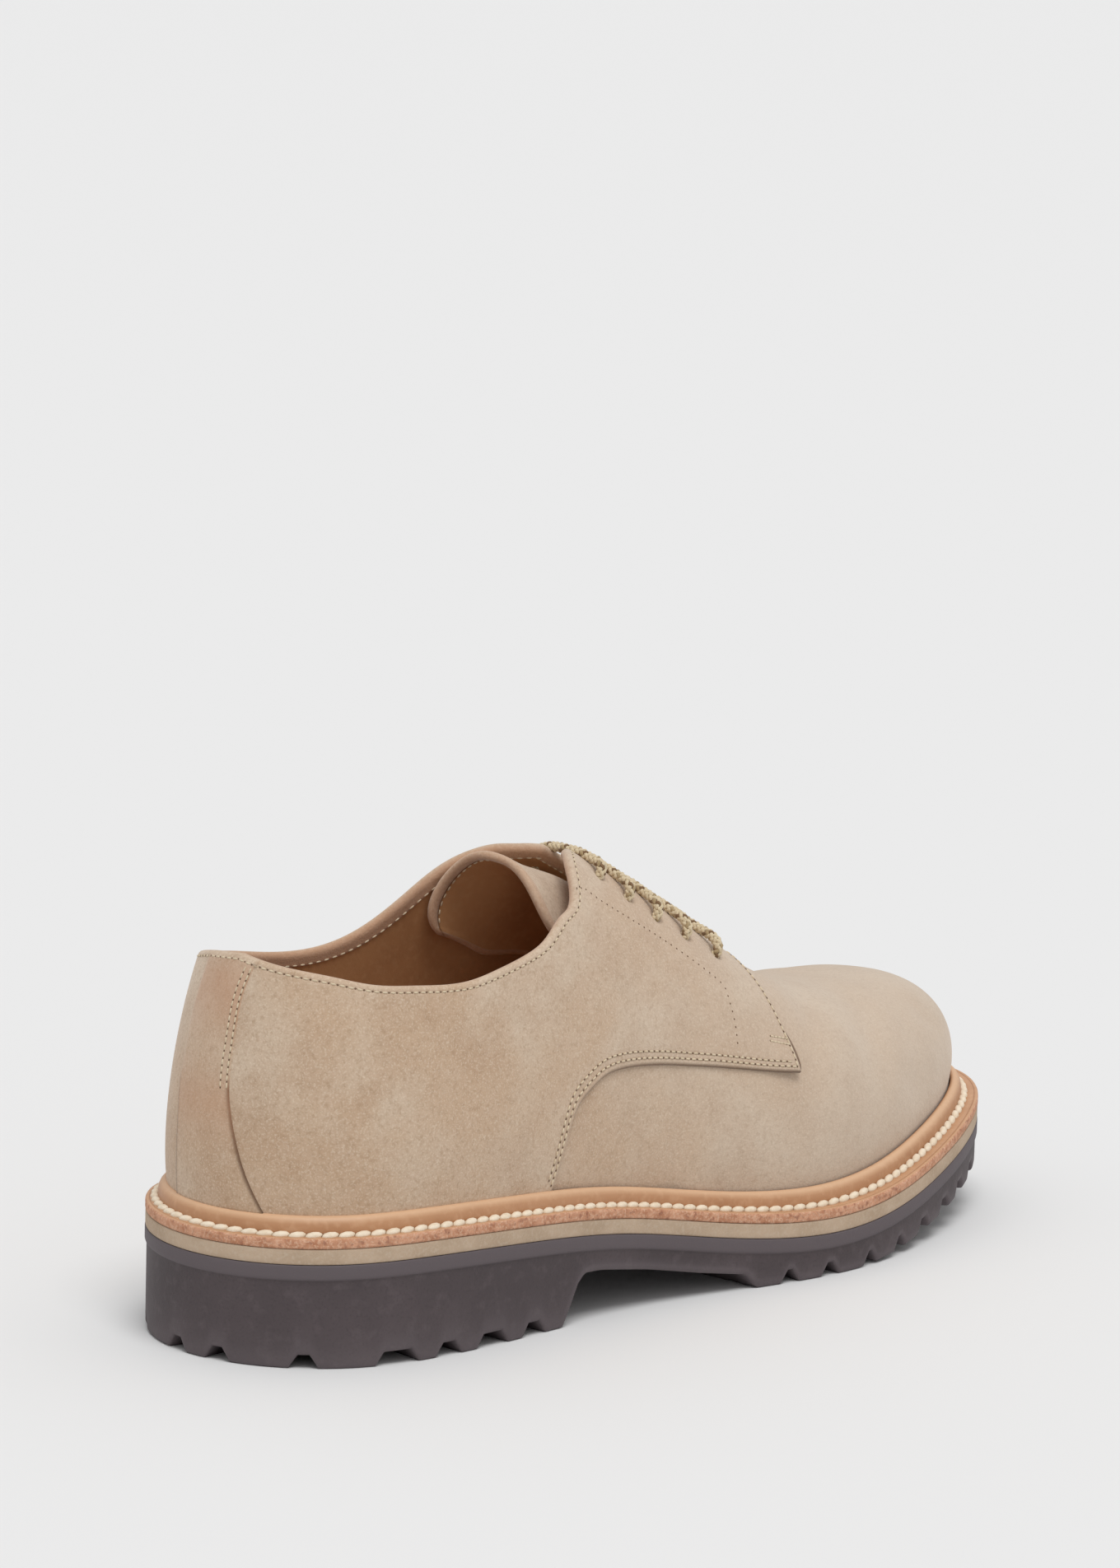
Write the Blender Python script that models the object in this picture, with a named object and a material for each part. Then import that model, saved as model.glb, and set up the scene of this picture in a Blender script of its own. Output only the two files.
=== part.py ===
# Derby shoe for the right foot: welted, on a lugged rubber sole, with five bars of lace.
# Toe towards +X, up +Z, big-toe side towards +Y. Lengths are in metres, tables in shares or in millimetres.
import math

import bmesh
import bpy
import numpy as np

MM = 0.001

# Driving sizes
LENGTH = 302 * MM  # outsole, heel to toe
BALL_WIDTH = 112 * MM  # outsole, at the ball of the foot
MIDSOLE = 3.8 * MM
FLANGE = 2.85 * MM  # thickness of the welt's flat rim
RIB = 4.55 * MM  # inner rim of the welt's upright rib above that
WALL = 1.6 * MM  # upper with its lining
QUARTER_LIFT = 1.2 * MM
COUNTER_LIFT = 1.7 * MM
TONGUE = 2.4 * MM
INSOLE = 3.0 * MM
LACE = 3.0 * MM
EYELET = 4.6 * MM
GAP = 0.25 * MM  # between layers of the bottom stack
CLEAR = 0.35 * MM  # between curved pieces
BAND = 3.9 * MM  # smooth band along the top of the outsole's side
BAND_STEP = 0.5 * MM
EDGE_ROUND = 1.5 * MM
LUG = 3.6 * MM
LUG_REACH = 13 * MM  # how far an edge lug reaches in from the outline
LUG_DRAFT = 1.6 * MM
FACING_GAP = 85.0  # degrees up the section where a facing ends beside the ridge
BULGE_HEIGHT = 20 * MM
HEEL_POLE = 46 * MM
TOE_POLE_BACK = 56 * MM  # from the sole's toe
POLE_SOFT = 6 * MM

# Plan of the sole: share of the length; outer side and inner side, each as a share of the ball width
OUTLINE = (
    (0.000, 0.000, 0.000),
    (0.022, 0.208, 0.208),
    (0.075, 0.345, 0.345),
    (0.160, 0.407, 0.392),
    (0.290, 0.415, 0.345),
    (0.410, 0.417, 0.298),
    (0.520, 0.458, 0.335),
    (0.620, 0.506, 0.425),
    (0.715, 0.499, 0.480),
    (0.810, 0.433, 0.470),
    (0.900, 0.329, 0.400),
    (0.965, 0.201, 0.285),
    (1.000, -0.029, 0.029),
)
# Top of the outsole: share of the length; height in mm
SOLE_LINE = (
    (-0.10, 27.5), (0.00, 27.7), (0.12, 27.9), (0.26, 25.9), (0.40, 21.3), (0.52, 14.9),
    (0.64, 12.0), (0.74, 14.4), (0.84, 19.3), (0.92, 23.2), (1.00, 26.2), (1.10, 29.5),
)
# Tread face: share of the length; height in mm. Heel, sloped breast, waist, flat forefoot, toe spring
TREAD_LINE = (
    (0.000, 0.0), (0.309, 0.0), (0.318, 4.6), (0.328, 10.6), (0.338, 13.4), (0.360, 13.2),
    (0.420, 10.4), (0.480, 6.8), (0.533, 4.2), (0.545, 0.0), (0.665, 0.0), (0.700, 0.7),
    (0.740, 1.9), (0.840, 6.6), (0.920, 10.6), (1.000, 13.6), (1.100, 17.0),
)
# Upright line of the foot along the ridge: share of the length; height in mm
RIDGE = (
    (0.00, 142.0), (0.12, 142.0), (0.25, 140.0), (0.35, 132.5), (0.44, 118.0), (0.50, 108.0), (0.57, 95.0),
    (0.64, 82.5), (0.70, 74.0), (0.76, 69.0), (0.82, 67.0), (0.88, 67.0), (0.95, 67.5), (1.05, 67.0),
)
# Where the ridge runs across: share of the length; mm towards the inner side
SPINE = ((0.0, 0.0), (0.3, -1.0), (0.5, -3.5), (0.7, -2.0), (0.85, 2.0), (1.0, 5.0))
# Seam between upper and welt: share of the length; mm in from the outline
FEATHER = ((0.0, 7.0), (0.3, 6.8), (0.5, 8.2), (0.75, 8.7), (1.0, 8.4))
# Cross-sections of the upper: contour share; squareness of the curve; bulge above the welt
SECTIONS = (
    (0.00, 1.92, 0.012), (0.12, 1.97, 0.022), (0.28, 2.13, 0.033), (0.45, 2.10, 0.030),
    (0.60, 2.15, 0.035), (0.75, 2.40, 0.035), (0.90, 2.56, 0.038), (1.00, 2.62, 0.042),
)
# Topline: contour share; degrees up the section on the outer and on the inner side
TOPLINE = (
    (0.000, 40.8, 40.8), (0.060, 39.1, 39.4), (0.110, 37.5, 37.2), (0.160, 35.2, 35.0), (0.200, 34.0, 33.3),
    (0.255, 33.2, 31.5), (0.292, 34.8, 32.4), (0.330, 37.8, 37.4), (0.355, 41.6, 44.6), (0.380, 48.0, 55.1),
    (0.400, 55.0, 63.7), (0.415, 67.5, 70.3), (0.430, 77.5, 76.8), (0.442, FACING_GAP, FACING_GAP),
)
# Lower edge of a quarter: contour share; degrees up the section
QUARTER_EDGE = (
    (0.3359, 0.0), (0.3487, 6.3), (0.3583, 10.5), (0.3735, 13.9), (0.3934, 17.1), (0.4171, 19.5),
    (0.4527, 21.9), (0.4952, 24.0), (0.5460, 26.4), (0.6020, 28.4),
)
CORNER = 0.602  # contour share of a quarter's front corner
QUARTER_FRONT = 0.606  # and of its front edge at the ridge
THROAT = 0.592  # where the facings' gap ends
# Edges of the heel piece: share of its height; contour share on the outer and on the inner side
HEEL_PIECE = (
    (0.00, 0.0540, 0.050), (0.16, 0.0356, 0.051), (0.32, 0.0223, 0.054), (0.44, 0.0150, 0.058),
    (0.65, 0.0136, 0.062), (0.83, 0.0150, 0.060), (1.00, 0.0260, 0.056),
)
# Notches between the edge lugs: contour share of their two ends
NOTCHES = (
    (0.013, 0.029), (0.082, 0.098), (0.149, 0.180), (0.202, 0.221), (0.243, 0.270), (0.292, 0.312),
    (0.564, 0.576), (0.606, 0.619), (0.655, 0.666), (0.697, 0.709), (0.736, 0.752), (0.778, 0.796),
    (0.816, 0.834), (0.854, 0.872), (0.893, 0.911), (0.932, 0.950), (0.971, 0.987),
)
NOTCH_DRAFT = 0.0035  # contour share
HEEL_LUGS_END = 0.334
FORE_LUGS_START = 0.540
# Tongue: contour share; lace thicknesses below the lining at the crest, outer and inner side; degrees where it ends
TONGUE_LINE = (
    (0.364, 2.60, 1.85, 1.15, 46.0), (0.371, 2.55, 1.85, 1.12, 41.0), (0.385, 2.45, 1.85, 1.10, 38.0),
    (0.420, 1.95, 1.60, 1.15, 37.0), (0.450, 1.45, 1.35, 1.20, 41.0), (0.570, 1.20, 1.20, 1.20, 52.0),
    (0.620, 0.35, 0.35, 0.35, 58.0), (0.650, 0.00, 0.00, 0.00, 62.0),
)
TONGUE_TOP = (0.390, 0.384, 0.364)  # contour share of its top edge on the outer side, at the crest and inside
# Bars of the lace: contour share; degrees up the section of the two eyelets
LACE_ROWS = ((0.4517, 70.3), (0.4745, 66.0), (0.5000, 63.4), (0.5300, 62.6), (0.5632, 62.3))


def spline(knots, values, at):
    """Natural cubic spline through values at knots, read at the given places."""
    knots, values, at = (np.asarray(item, float) for item in (knots, values, at))
    count = len(knots)
    step = np.diff(knots)
    system = np.eye(count)
    right = np.zeros_like(values)
    for i in range(1, count - 1):
        system[i, i - 1:i + 2] = step[i - 1], 2 * (step[i - 1] + step[i]), step[i]
        slopes = (values[i + 1] - values[i]) / step[i], (values[i] - values[i - 1]) / step[i - 1]
        right[i] = 6 * (slopes[0] - slopes[1])
    bend = np.linalg.solve(system, right)
    k = np.clip(np.searchsorted(knots, at, side="right") - 1, 0, count - 2)
    a = (knots[k + 1] - at) / step[k]
    b = (at - knots[k]) / step[k]
    curve = (a**3 - a) * bend[k] + (b**3 - b) * bend[k + 1]
    return a * values[k] + b * values[k + 1] + curve * step[k] ** 2 / 6


def column(table, at, index=1):
    """Smooth value of one column of a table."""
    rows = np.asarray(table, float)
    return spline(rows[:, 0], rows[:, index], np.clip(at, rows[0, 0], rows[-1, 0]))


def outline(side, t):
    """Plan point on the sole's edge; side -1 is the outer one, t runs from heel 0 to toe 1."""
    rows = np.asarray(OUTLINE)
    middle = np.hypot(np.diff(rows[:, 0]) * LENGTH, np.diff(rows[:, 1:].mean(axis=1)) * BALL_WIDTH)
    knots = np.concatenate([[0], np.cumsum(middle)]) / middle.sum()
    near, far = (1, 2) if side < 0 else (2, 1)
    knots = np.concatenate([-knots[3:0:-1], knots, 2 - knots[-2:-5:-1]])
    x = np.concatenate([rows[3:0:-1, 0], rows[:, 0], rows[-2:-5:-1, 0]]) * LENGTH
    y = np.concatenate([-rows[3:0:-1, far], rows[:, near], -rows[-2:-5:-1, far]]) * BALL_WIDTH * side
    return np.stack([spline(knots, x, t), spline(knots, y, t)], axis=-1)


def outward(side, t):
    """Unit plan direction away from the sole's edge."""
    t = np.asarray(t, float)
    along = outline(side, t + 1e-4) - outline(side, t - 1e-4)
    away = np.stack([-along[..., 1], along[..., 0]], axis=-1) * side
    return away / np.linalg.norm(away, axis=-1, keepdims=True)


def plan_centre():
    """Middle of the sole's plan at the floor, which is the object's origin."""
    t = np.linspace(0, 1, 201)
    return np.array([LENGTH / 2, (outline(-1, t)[:, 1].min() + outline(1, t)[:, 1].max()) / 2, 0])


def inset(side, t, by):
    """Plan point this far in from the sole's edge."""
    return outline(side, t) - outward(side, t) * np.broadcast_to(by, np.shape(t))[..., None]


def sole_line(x):
    return column(SOLE_LINE, x / LENGTH) * MM


def tread_line(x):
    rows = np.asarray(TREAD_LINE)
    return np.interp(x / LENGTH, rows[:, 0], rows[:, 1]) * MM


def feather(side, t):
    """Plan point of the seam between upper and welt."""
    return inset(side, t, column(FEATHER, outline(side, t)[..., 0] / LENGTH) * MM)


def welt_base(x):
    return sole_line(x) + MIDSOLE + 2 * GAP


def seat(x):
    """Height of the rib's inner rim, where the upper comes into view."""
    return welt_base(x) + FLANGE + RIB


def spine(side, t):
    """Plan point under the ridge that a cross-section leans towards."""
    x = outline(side, t)[..., 0]
    rise = POLE_SOFT * np.logaddexp(0, (x - HEEL_POLE) / POLE_SOFT)
    toe_pole = LENGTH - TOE_POLE_BACK
    fall = POLE_SOFT * np.logaddexp(0, (x - toe_pole) / POLE_SOFT)
    x = HEEL_POLE + rise - fall
    x = np.where(toe_pole - x < 0.9 * MM, toe_pole, x)
    return np.stack([x, column(SPINE, x / LENGTH) * MM], axis=-1)


def form(side, t, angle):
    """Point on the shoe's form: t along the contour, angle from the welt at 0 to the ridge at 90 degrees."""
    t, angle = np.broadcast_arrays(np.asarray(t, float), np.radians(angle))
    foot = feather(side, t)
    top = spine(side, t)
    power = 2 / column(SECTIONS, t)
    across = np.clip(np.cos(angle), 0, 1) ** power
    up = np.clip(np.sin(angle), 0, 1) ** power
    low = seat(foot[..., 0])
    height = (column(RIDGE, top[..., 0] / LENGTH) * MM - low) * up / BULGE_HEIGHT
    bulge = 1 + column(SECTIONS, t, 2) * height * np.exp(1 - height)
    plan = top + (foot - top) * (across * bulge)[..., None]
    ridge = column(RIDGE, plan[..., 0] / LENGTH) * MM
    return np.concatenate([plan, (low + (ridge - low) * up)[..., None]], axis=-1)


def lifted(side, t, angle, lift):
    """Point on the form moved out along its normal."""
    t, angle = np.broadcast_arrays(np.asarray(t, float), np.asarray(angle, float))
    inner = np.clip(angle, 0.5, 89.0)
    along = form(side, t + 1e-3, inner) - form(side, t - 1e-3, inner)
    upward = form(side, t, inner + 0.4) - form(side, t, inner - 0.4)
    normal = np.cross(upward, along) * side
    normal /= np.linalg.norm(normal, axis=-1, keepdims=True)
    return form(side, t, angle) + normal * np.broadcast_to(lift, t.shape)[..., None]


def topline(side, t):
    """Degrees up the section where the upper ends: collar, then facing edge, then the closed ridge."""
    collar = column(TOPLINE, t, 1 if side < 0 else 2)
    facing = np.where(t > THROAT + 1e-6, 90.0, FACING_GAP)
    return np.where(t < TOPLINE[-1][0], collar, facing)


def material(name, colour, roughness):
    made = bpy.data.materials.new(name)
    made.use_nodes = True
    shader = made.node_tree.nodes["Principled BSDF"]
    shader.inputs["Base Color"].default_value = (*colour, 1)
    shader.inputs["Roughness"].default_value = roughness
    return made


def body(name, points, faces, finish, smooth=False, closed=True):
    """A mesh object from points and faces, with coincident points merged and a closed one turned to face out."""
    mesh = bpy.data.meshes.new(name)
    bm = bmesh.new()
    made = [bm.verts.new(point) for point in points - plan_centre()]
    for face in faces:
        bm.faces.new([made[i] for i in face])
    bmesh.ops.remove_doubles(bm, verts=bm.verts, dist=2e-5)
    bmesh.ops.dissolve_degenerate(bm, edges=bm.edges, dist=1e-5)
    if closed:
        bmesh.ops.recalc_face_normals(bm, faces=bm.faces)
    bm.to_mesh(mesh)
    bm.free()
    for polygon in mesh.polygons:
        polygon.use_smooth = smooth
    mesh.materials.append(finish)
    obj = bpy.data.objects.new(name, mesh)
    bpy.context.scene.collection.objects.link(obj)
    return obj


def grid_faces(rows, columns, close_rows=False, close_columns=False, start=0, flip=False):
    """Quads over a grid of points stored row by row."""
    faces = []
    for i in range(rows if close_rows else rows - 1):
        for j in range(columns if close_columns else columns - 1):
            a, b = start + i * columns + j, start + i * columns + (j + 1) % columns
            below = (i + 1) % rows
            c, d = start + below * columns + (j + 1) % columns, start + below * columns + j
            faces.append((a, d, c, b) if flip else (a, b, c, d))
    return faces


def ring(shares, rise):
    """Closed loop of points round the shoe: outer side from heel to toe, then back along the inner side."""
    outer = rise(-1, shares)
    inner = rise(1, shares[-2:0:-1])
    return np.concatenate([outer, inner])


def at_height(plan, height):
    return np.concatenate([plan, height[..., None]], axis=-1)


def ladder(start, count, flip):
    """Quads across a closed loop from its outer side to its inner side."""
    total = 2 * count - 2
    faces = []
    for i in range(count - 1):
        face = (start + i, start + i + 1, start + (total - i - 1) % total, start + (total - i) % total)
        face = tuple(dict.fromkeys(face))
        faces.append(face[::-1] if flip else face)
    return faces


def plate(name, shares, edge, low, high, finish):
    """A flat piece that follows the sole's curve, between two heights that depend on x alone."""
    loops = []
    for rise in (low, high):
        loops.append(ring(shares, lambda side, t: at_height(edge(side, t), rise(edge(side, t)[..., 0]))))
    count = len(loops[0])
    faces = grid_faces(2, count, close_columns=True, flip=True)
    faces += ladder(0, len(shares), flip=False) + ladder(count, len(shares), flip=True)
    return body(name, np.concatenate(loops), [face[::-1] for face in faces], finish)


def notch(t):
    """1 inside a notch between edge lugs, 0 on a lug, with sloped ends."""
    deep = np.zeros_like(t)
    for start, end in NOTCHES:
        rows = (start - NOTCH_DRAFT, start + NOTCH_DRAFT, end - NOTCH_DRAFT, end + NOTCH_DRAFT)
        deep = np.maximum(deep, np.interp(t, rows, (0, 1, 1, 0)))
    return deep


def sole_stations():
    """Contour shares of the sole: four at each notch, and more along the long lugs and the waist."""
    shares = {0.0, 0.3375, 0.343, 0.349, 0.355, 0.362, 0.370, 0.40, 0.44, 0.48, 0.515, 0.5375, 0.541, 0.545, 1.0}
    ends = sorted(NOTCHES) + [(1.0, 1.0)]
    for (start, end), (later, _) in zip(ends, ends[1:]):
        shares |= {start - NOTCH_DRAFT, start + NOTCH_DRAFT, end - NOTCH_DRAFT, end + NOTCH_DRAFT}
        if 0.03 < later - end < 0.1:
            shares.add((end + later) / 2)
    return np.array(sorted(shares))


def make_outsole(finish):
    shares = sole_stations()
    lugged = (shares < HEEL_LUGS_END) | (shares > FORE_LUGS_START)
    relief = np.where(lugged, LUG, 0)
    cut = notch(shares) * relief

    def loop(by, height):
        def rise(side, t):
            plan = inset(side, t, by)
            index = np.searchsorted(shares, t)
            return at_height(plan, height(plan[..., 0], index))
        return ring(shares, rise)

    loops = [
        loop(0, lambda x, i: sole_line(x)),
        loop(0, lambda x, i: sole_line(x) - BAND),
        loop(BAND_STEP, lambda x, i: sole_line(x) - BAND - BAND_STEP),
        loop(BAND_STEP, lambda x, i: tread_line(x) + cut[i] + EDGE_ROUND),
        loop(BAND_STEP + EDGE_ROUND, lambda x, i: tread_line(x) + cut[i]),
        loop(LUG_REACH, lambda x, i: tread_line(x) + cut[i]),
        loop(LUG_REACH + LUG_DRAFT, lambda x, i: tread_line(x) + relief[i]),
    ]
    total = len(loops[0])
    count = len(shares)
    faces = grid_faces(len(loops), total, close_columns=True) + ladder(0, count, flip=False)
    points = np.concatenate(loops)
    last = (len(loops) - 1) * total
    outer = points[last:last + count]
    inner = np.concatenate([points[last:last + 1], points[last + count - 1:last + total][::-1]])
    bar = np.where(np.linalg.norm(inner - outer, axis=1) > LUG_REACH, relief - cut, 0)
    strip = [outer]
    for across, lug in ((0.10, 0), (0.16, 1), (0.44, 1), (0.48, 0), (0.52, 0), (0.56, 1), (0.84, 1), (0.90, 0)):
        row = outer + (inner - outer) * across
        row[:, 2] -= lug * bar
        strip.append(row)
    strip.append(inner)
    faces += grid_faces(len(strip), count, start=len(points))
    return body("outsole", np.concatenate([points] + strip), [face[::-1] for face in faces], finish)


def make_welt(finish, shares):
    """Flat rim with a groove for the stitches and an upright rounded rib against the upper."""
    profile = (  # counted from: the outline or the feather line; mm in; share of the rim's height, and of the rib's
        ("outline", 0.3, 0.00, 0.00), ("outline", 0.0, 0.14, 0.00), ("outline", 0.0, 0.84, 0.00),
        ("outline", 0.5, 1.00, 0.00), ("outline", 2.5, 0.96, 0.00), ("feather", -3.6, 0.88, 0.00),
        ("feather", -3.5, 1.00, 0.56), ("feather", -2.8, 1.00, 0.89), ("feather", -1.8, 1.00, 1.04),
        ("feather", -0.9, 1.00, 1.07), ("feather", -0.35, 1.00, 1.00), ("feather", -0.35, 0.00, 0.00),
    )
    loops = []
    for line, by, rim, rib in profile:
        def rise(side, t):
            feather_in = column(FEATHER, outline(side, t)[..., 0] / LENGTH) * (line == "feather")
            plan = inset(side, t, (feather_in + by) * MM)
            return at_height(plan, welt_base(plan[..., 0]) + rim * FLANGE + rib * RIB)
        loops.append(ring(shares, rise))
    faces = grid_faces(len(loops), len(loops[0]), close_rows=True, close_columns=True)
    return body("welt", np.concatenate(loops), faces, finish)


def patch(name, columns, finish, thickness):
    """A sheet over a grid of points, thickened away from the side that its normals face."""
    rows = len(columns[0])
    faces = grid_faces(len(columns), rows)
    made = body(name, np.concatenate(columns), faces, finish, smooth=True, closed=False)
    solid = made.modifiers.new("thickness", "SOLIDIFY")
    solid.thickness = thickness
    solid.offset = -1
    solid.use_even_offset = True
    return made


def helper(obj):
    obj.hide_render = True
    obj.display_type = "WIRE"
    return obj


def combine(target, other, operation):
    joint = target.modifiers.new(other.name, "BOOLEAN")
    joint.operation = operation
    joint.object = other
    joint.solver = "EXACT"


def make_upper(finish):
    """Shell of the upper with the quarters and the heel piece as steps on it, and the eyelets cut through."""
    shares = np.concatenate([
        (0, 0.02, 0.04, 0.06, 0.085, 0.115, 0.15, 0.19, 0.235, 0.28, 0.315), np.linspace(0.345, 0.442, 7),
        np.linspace(0.472, THROAT, 5), np.linspace(0.606, 0.85, 9), np.linspace(0.88, 1, 6),
    ])
    heights = np.array([0, 0.07, 0.16, 0.28, 0.42, 0.58, 0.74, 0.88, 1.0])
    columns = []
    for side, shares_here in ((-1, shares[::-1]), (1, shares[1:])):
        for t in shares_here:
            foot = feather(side, t)
            start = [foot[0], foot[1], float(welt_base(foot[0])) + CLEAR - GAP]
            climb = form(side, t, heights * float(topline(side, t)))
            columns.append(np.concatenate([[start], climb]))
    upper = patch("upper", columns, finish, WALL)

    steps = np.linspace(0, 1, 8)
    low_edge = [row[0] for row in QUARTER_EDGE]
    whole = shares[shares < CORNER]
    whole = whole[np.abs(whole[:, None] - low_edge).min(axis=1) > 0.004]
    bases = np.sort(np.concatenate([whole, low_edge[:-1], [CORNER]]))
    columns = []
    for side, bases_here in ((-1, bases[::-1]), (1, bases[1:])):
        for base in bases_here:
            low = float(column(QUARTER_EDGE, base)) if base > low_edge[0] else 0.0
            lean = max(0, base - low_edge[-2]) / (CORNER - low_edge[-2]) * (QUARTER_FRONT - CORNER)
            high = min(float(topline(side, base)), FACING_GAP)
            points = lifted(side, base + lean * steps, low + (high - low) * steps, QUARTER_LIFT)
            points[0, 2] += WALL / 2 if low == 0 else 0
            columns.append(points)
    quarters = patch("quarters", columns, finish, QUARTER_LIFT + WALL / 2)

    columns = []
    rows = np.asarray(HEEL_PIECE)
    for share in np.linspace(-1, 1, 9):
        side = -1 if share < 0 else 1
        shares_up = np.interp(steps, rows[:, 0], rows[:, 1 if share < 0 else 2]) * abs(share)
        points = lifted(side, shares_up, topline(side, shares_up) * steps, COUNTER_LIFT)
        points[0, 2] += WALL * 0.7
        points[-1, 2] -= WALL * 0.1
        columns.append(points)
    heel_piece = patch("heel_piece", columns, finish, COUNTER_LIFT + WALL / 2)

    circles = []
    faces = []
    sides = 12
    for t, angle in LACE_ROWS:
        for side in (-1, 1):
            hole, axis = eyelet(side, t, angle)
            aside = np.cross(axis, (0, 1, 0))
            aside /= np.linalg.norm(aside)
            turns = np.linspace(0, 2 * math.pi, sides, endpoint=False)[:, None]
            circle = (np.cos(turns) * aside + np.sin(turns) * np.cross(axis, aside)) * EYELET / 2
            start = len(circles) * sides
            reach = axis * 3 * WALL
            circles += [hole - reach + circle, hole + reach + circle]
            faces += grid_faces(2, sides, close_columns=True, start=start)
            faces.append(tuple(range(start + sides - 1, start - 1, -1)))
            faces.append(tuple(range(start + sides, start + 2 * sides)))
    eyelets = body("eyelet_cutters", np.concatenate(circles), faces, finish)
    combine(upper, helper(quarters), "UNION")
    combine(upper, helper(heel_piece), "UNION")
    combine(upper, helper(eyelets), "DIFFERENCE")
    return upper


def eyelet(side, t, angle):
    """Centre of an eyelet on the form, and its unit axis outwards."""
    hole = lifted(side, t, angle, 0)
    axis = lifted(side, t, angle, MM) - hole
    return hole, axis / np.linalg.norm(axis)


def make_tongue(finish):
    rows = np.asarray(TONGUE_LINE)
    start = np.interp(np.linspace(0, 1, 11), (0, 0.5, 1), TONGUE_TOP)
    columns = []
    for step in (0, 0.02, 0.05, 0.10, 0.16, 0.23, 0.31, 0.40, 0.50, 0.62, 0.74, 0.84, 0.93, 1):
        points = []
        for share, t in zip(np.linspace(-1, 1, 11), start):
            t = t + (rows[-1, 0] - t) * step
            side = -1 if share < 0 else 1
            crest, flank, end = (np.interp(t, rows[:, 0], rows[:, i]) for i in (1, 2 if side < 0 else 3, 4))
            reach = abs(share)
            depth = WALL + CLEAR + LACE * (crest + (flank - crest) * reach**1.5)
            points.append(lifted(side, t, 90 - (90 - end) * max(reach, 0.01) ** 0.9, -depth))
        columns.append(np.array(points)[::-1])
    return patch("tongue", columns, finish, TONGUE)


def lace_path():
    """Centre line of the lace: five bars across the facings, joined by hidden runs beneath them."""
    over, under = QUARTER_LIFT + LACE / 2 + CLEAR, WALL + LACE / 2 + CLEAR
    path = []
    for row, (t, angle) in enumerate(LACE_ROWS):
        first = -1 if row % 2 == 0 else 1
        for side in (first, -first):
            entering = side == first
            hole, axis = eyelet(side, t, angle)
            cross = lifted(side, t, angle + 3, 0) - hole
            cross -= axis * (cross @ axis)
            cross /= np.linalg.norm(cross)
            beside = row - 1 if entering else row + 1
            piece = []
            if 0 <= beside < len(LACE_ROWS):
                run = eyelet(side, *LACE_ROWS[beside])[0] - hole
                run /= np.linalg.norm(run)
                piece.append(hole + run * LACE * 1.15 - axis * under)
                piece.append(hole + run * LACE * 0.45 - axis * (under - LACE * 0.05))
            piece.append(hole - axis * (under - LACE * 0.4))
            piece.append(hole + axis * LACE * 0.15)
            piece.append(hole + cross * LACE * 0.15 + axis * (over - LACE * 0.33))
            piece.append(hole + cross * LACE * 0.55 + axis * over)
            for share in (0.35, 0.62, 0.88):
                piece.append(lifted(side, t, angle + (89 - angle) * share, over + LACE * 0.1))
            path += piece if entering else piece[::-1]
    return np.array(path)


def make_lace(finish):
    path = lace_path()
    sides = 6
    along = np.gradient(path, axis=0)
    along /= np.linalg.norm(along, axis=1, keepdims=True)
    aside = np.cross(along[0], (1, 0, 0))
    rings = []
    turns = np.linspace(0, 2 * math.pi, sides, endpoint=False)
    for point, direction in zip(path, along):
        aside = aside - direction * (aside @ direction)
        aside /= np.linalg.norm(aside)
        other = np.cross(direction, aside)
        rings.append(point + (np.outer(np.cos(turns), aside) + np.outer(np.sin(turns), other)) * LACE / 2)
    faces = grid_faces(len(rings), sides, close_columns=True)
    last = (len(rings) - 1) * sides
    faces += [tuple(range(sides - 1, -1, -1)), tuple(range(last, last + sides))]
    return body("lace", np.concatenate(rings), faces, finish, smooth=True)


def main():
    for obj in list(bpy.data.objects):
        bpy.data.objects.remove(obj)
    suede = material("sand_suede", (0.55, 0.42, 0.30), 0.95)
    shares = np.concatenate([np.linspace(0, 0.34, 12), np.linspace(0.38, 0.62, 6), np.linspace(0.66, 1, 13)])
    make_outsole(material("brown_rubber", (0.07, 0.055, 0.055), 0.7))
    plate(
        "midsole", shares, lambda side, t: inset(side, t, 0.1 * MM), lambda x: sole_line(x) + GAP,
        lambda x: sole_line(x) + GAP + MIDSOLE, material("beige_midsole", (0.48, 0.37, 0.28), 0.8),
    )
    make_welt(material("tan_leather", (0.64, 0.33, 0.15), 0.5), shares)
    make_upper(suede)
    make_tongue(material("tongue_suede", (0.55, 0.42, 0.30), 0.95))
    insole_edge = 0.5 * MM + WALL
    plate(
        "insole", shares, lambda side, t: feather(side, t) - outward(side, t) * insole_edge,
        lambda x: welt_base(x), lambda x: welt_base(x) + INSOLE,
        material("insole_leather", (0.45, 0.24, 0.11), 0.6),
    )
    make_lace(material("flecked_cord", (0.62, 0.50, 0.33), 0.9))


main()
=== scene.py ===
import math

import bmesh
import bpy
import numpy as np
from mathutils import Matrix, Vector


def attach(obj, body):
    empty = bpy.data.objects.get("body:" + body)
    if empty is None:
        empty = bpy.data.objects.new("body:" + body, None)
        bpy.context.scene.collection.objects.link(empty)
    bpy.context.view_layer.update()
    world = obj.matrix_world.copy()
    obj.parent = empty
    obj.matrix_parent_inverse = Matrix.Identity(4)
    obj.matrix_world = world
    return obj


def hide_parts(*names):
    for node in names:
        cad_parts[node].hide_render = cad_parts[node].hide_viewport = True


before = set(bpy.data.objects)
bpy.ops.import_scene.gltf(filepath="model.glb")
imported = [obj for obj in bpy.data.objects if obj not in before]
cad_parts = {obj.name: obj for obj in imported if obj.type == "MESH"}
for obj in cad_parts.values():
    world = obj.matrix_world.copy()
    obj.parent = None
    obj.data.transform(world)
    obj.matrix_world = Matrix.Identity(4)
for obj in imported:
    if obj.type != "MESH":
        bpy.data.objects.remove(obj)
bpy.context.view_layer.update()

MM = 0.001

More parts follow.
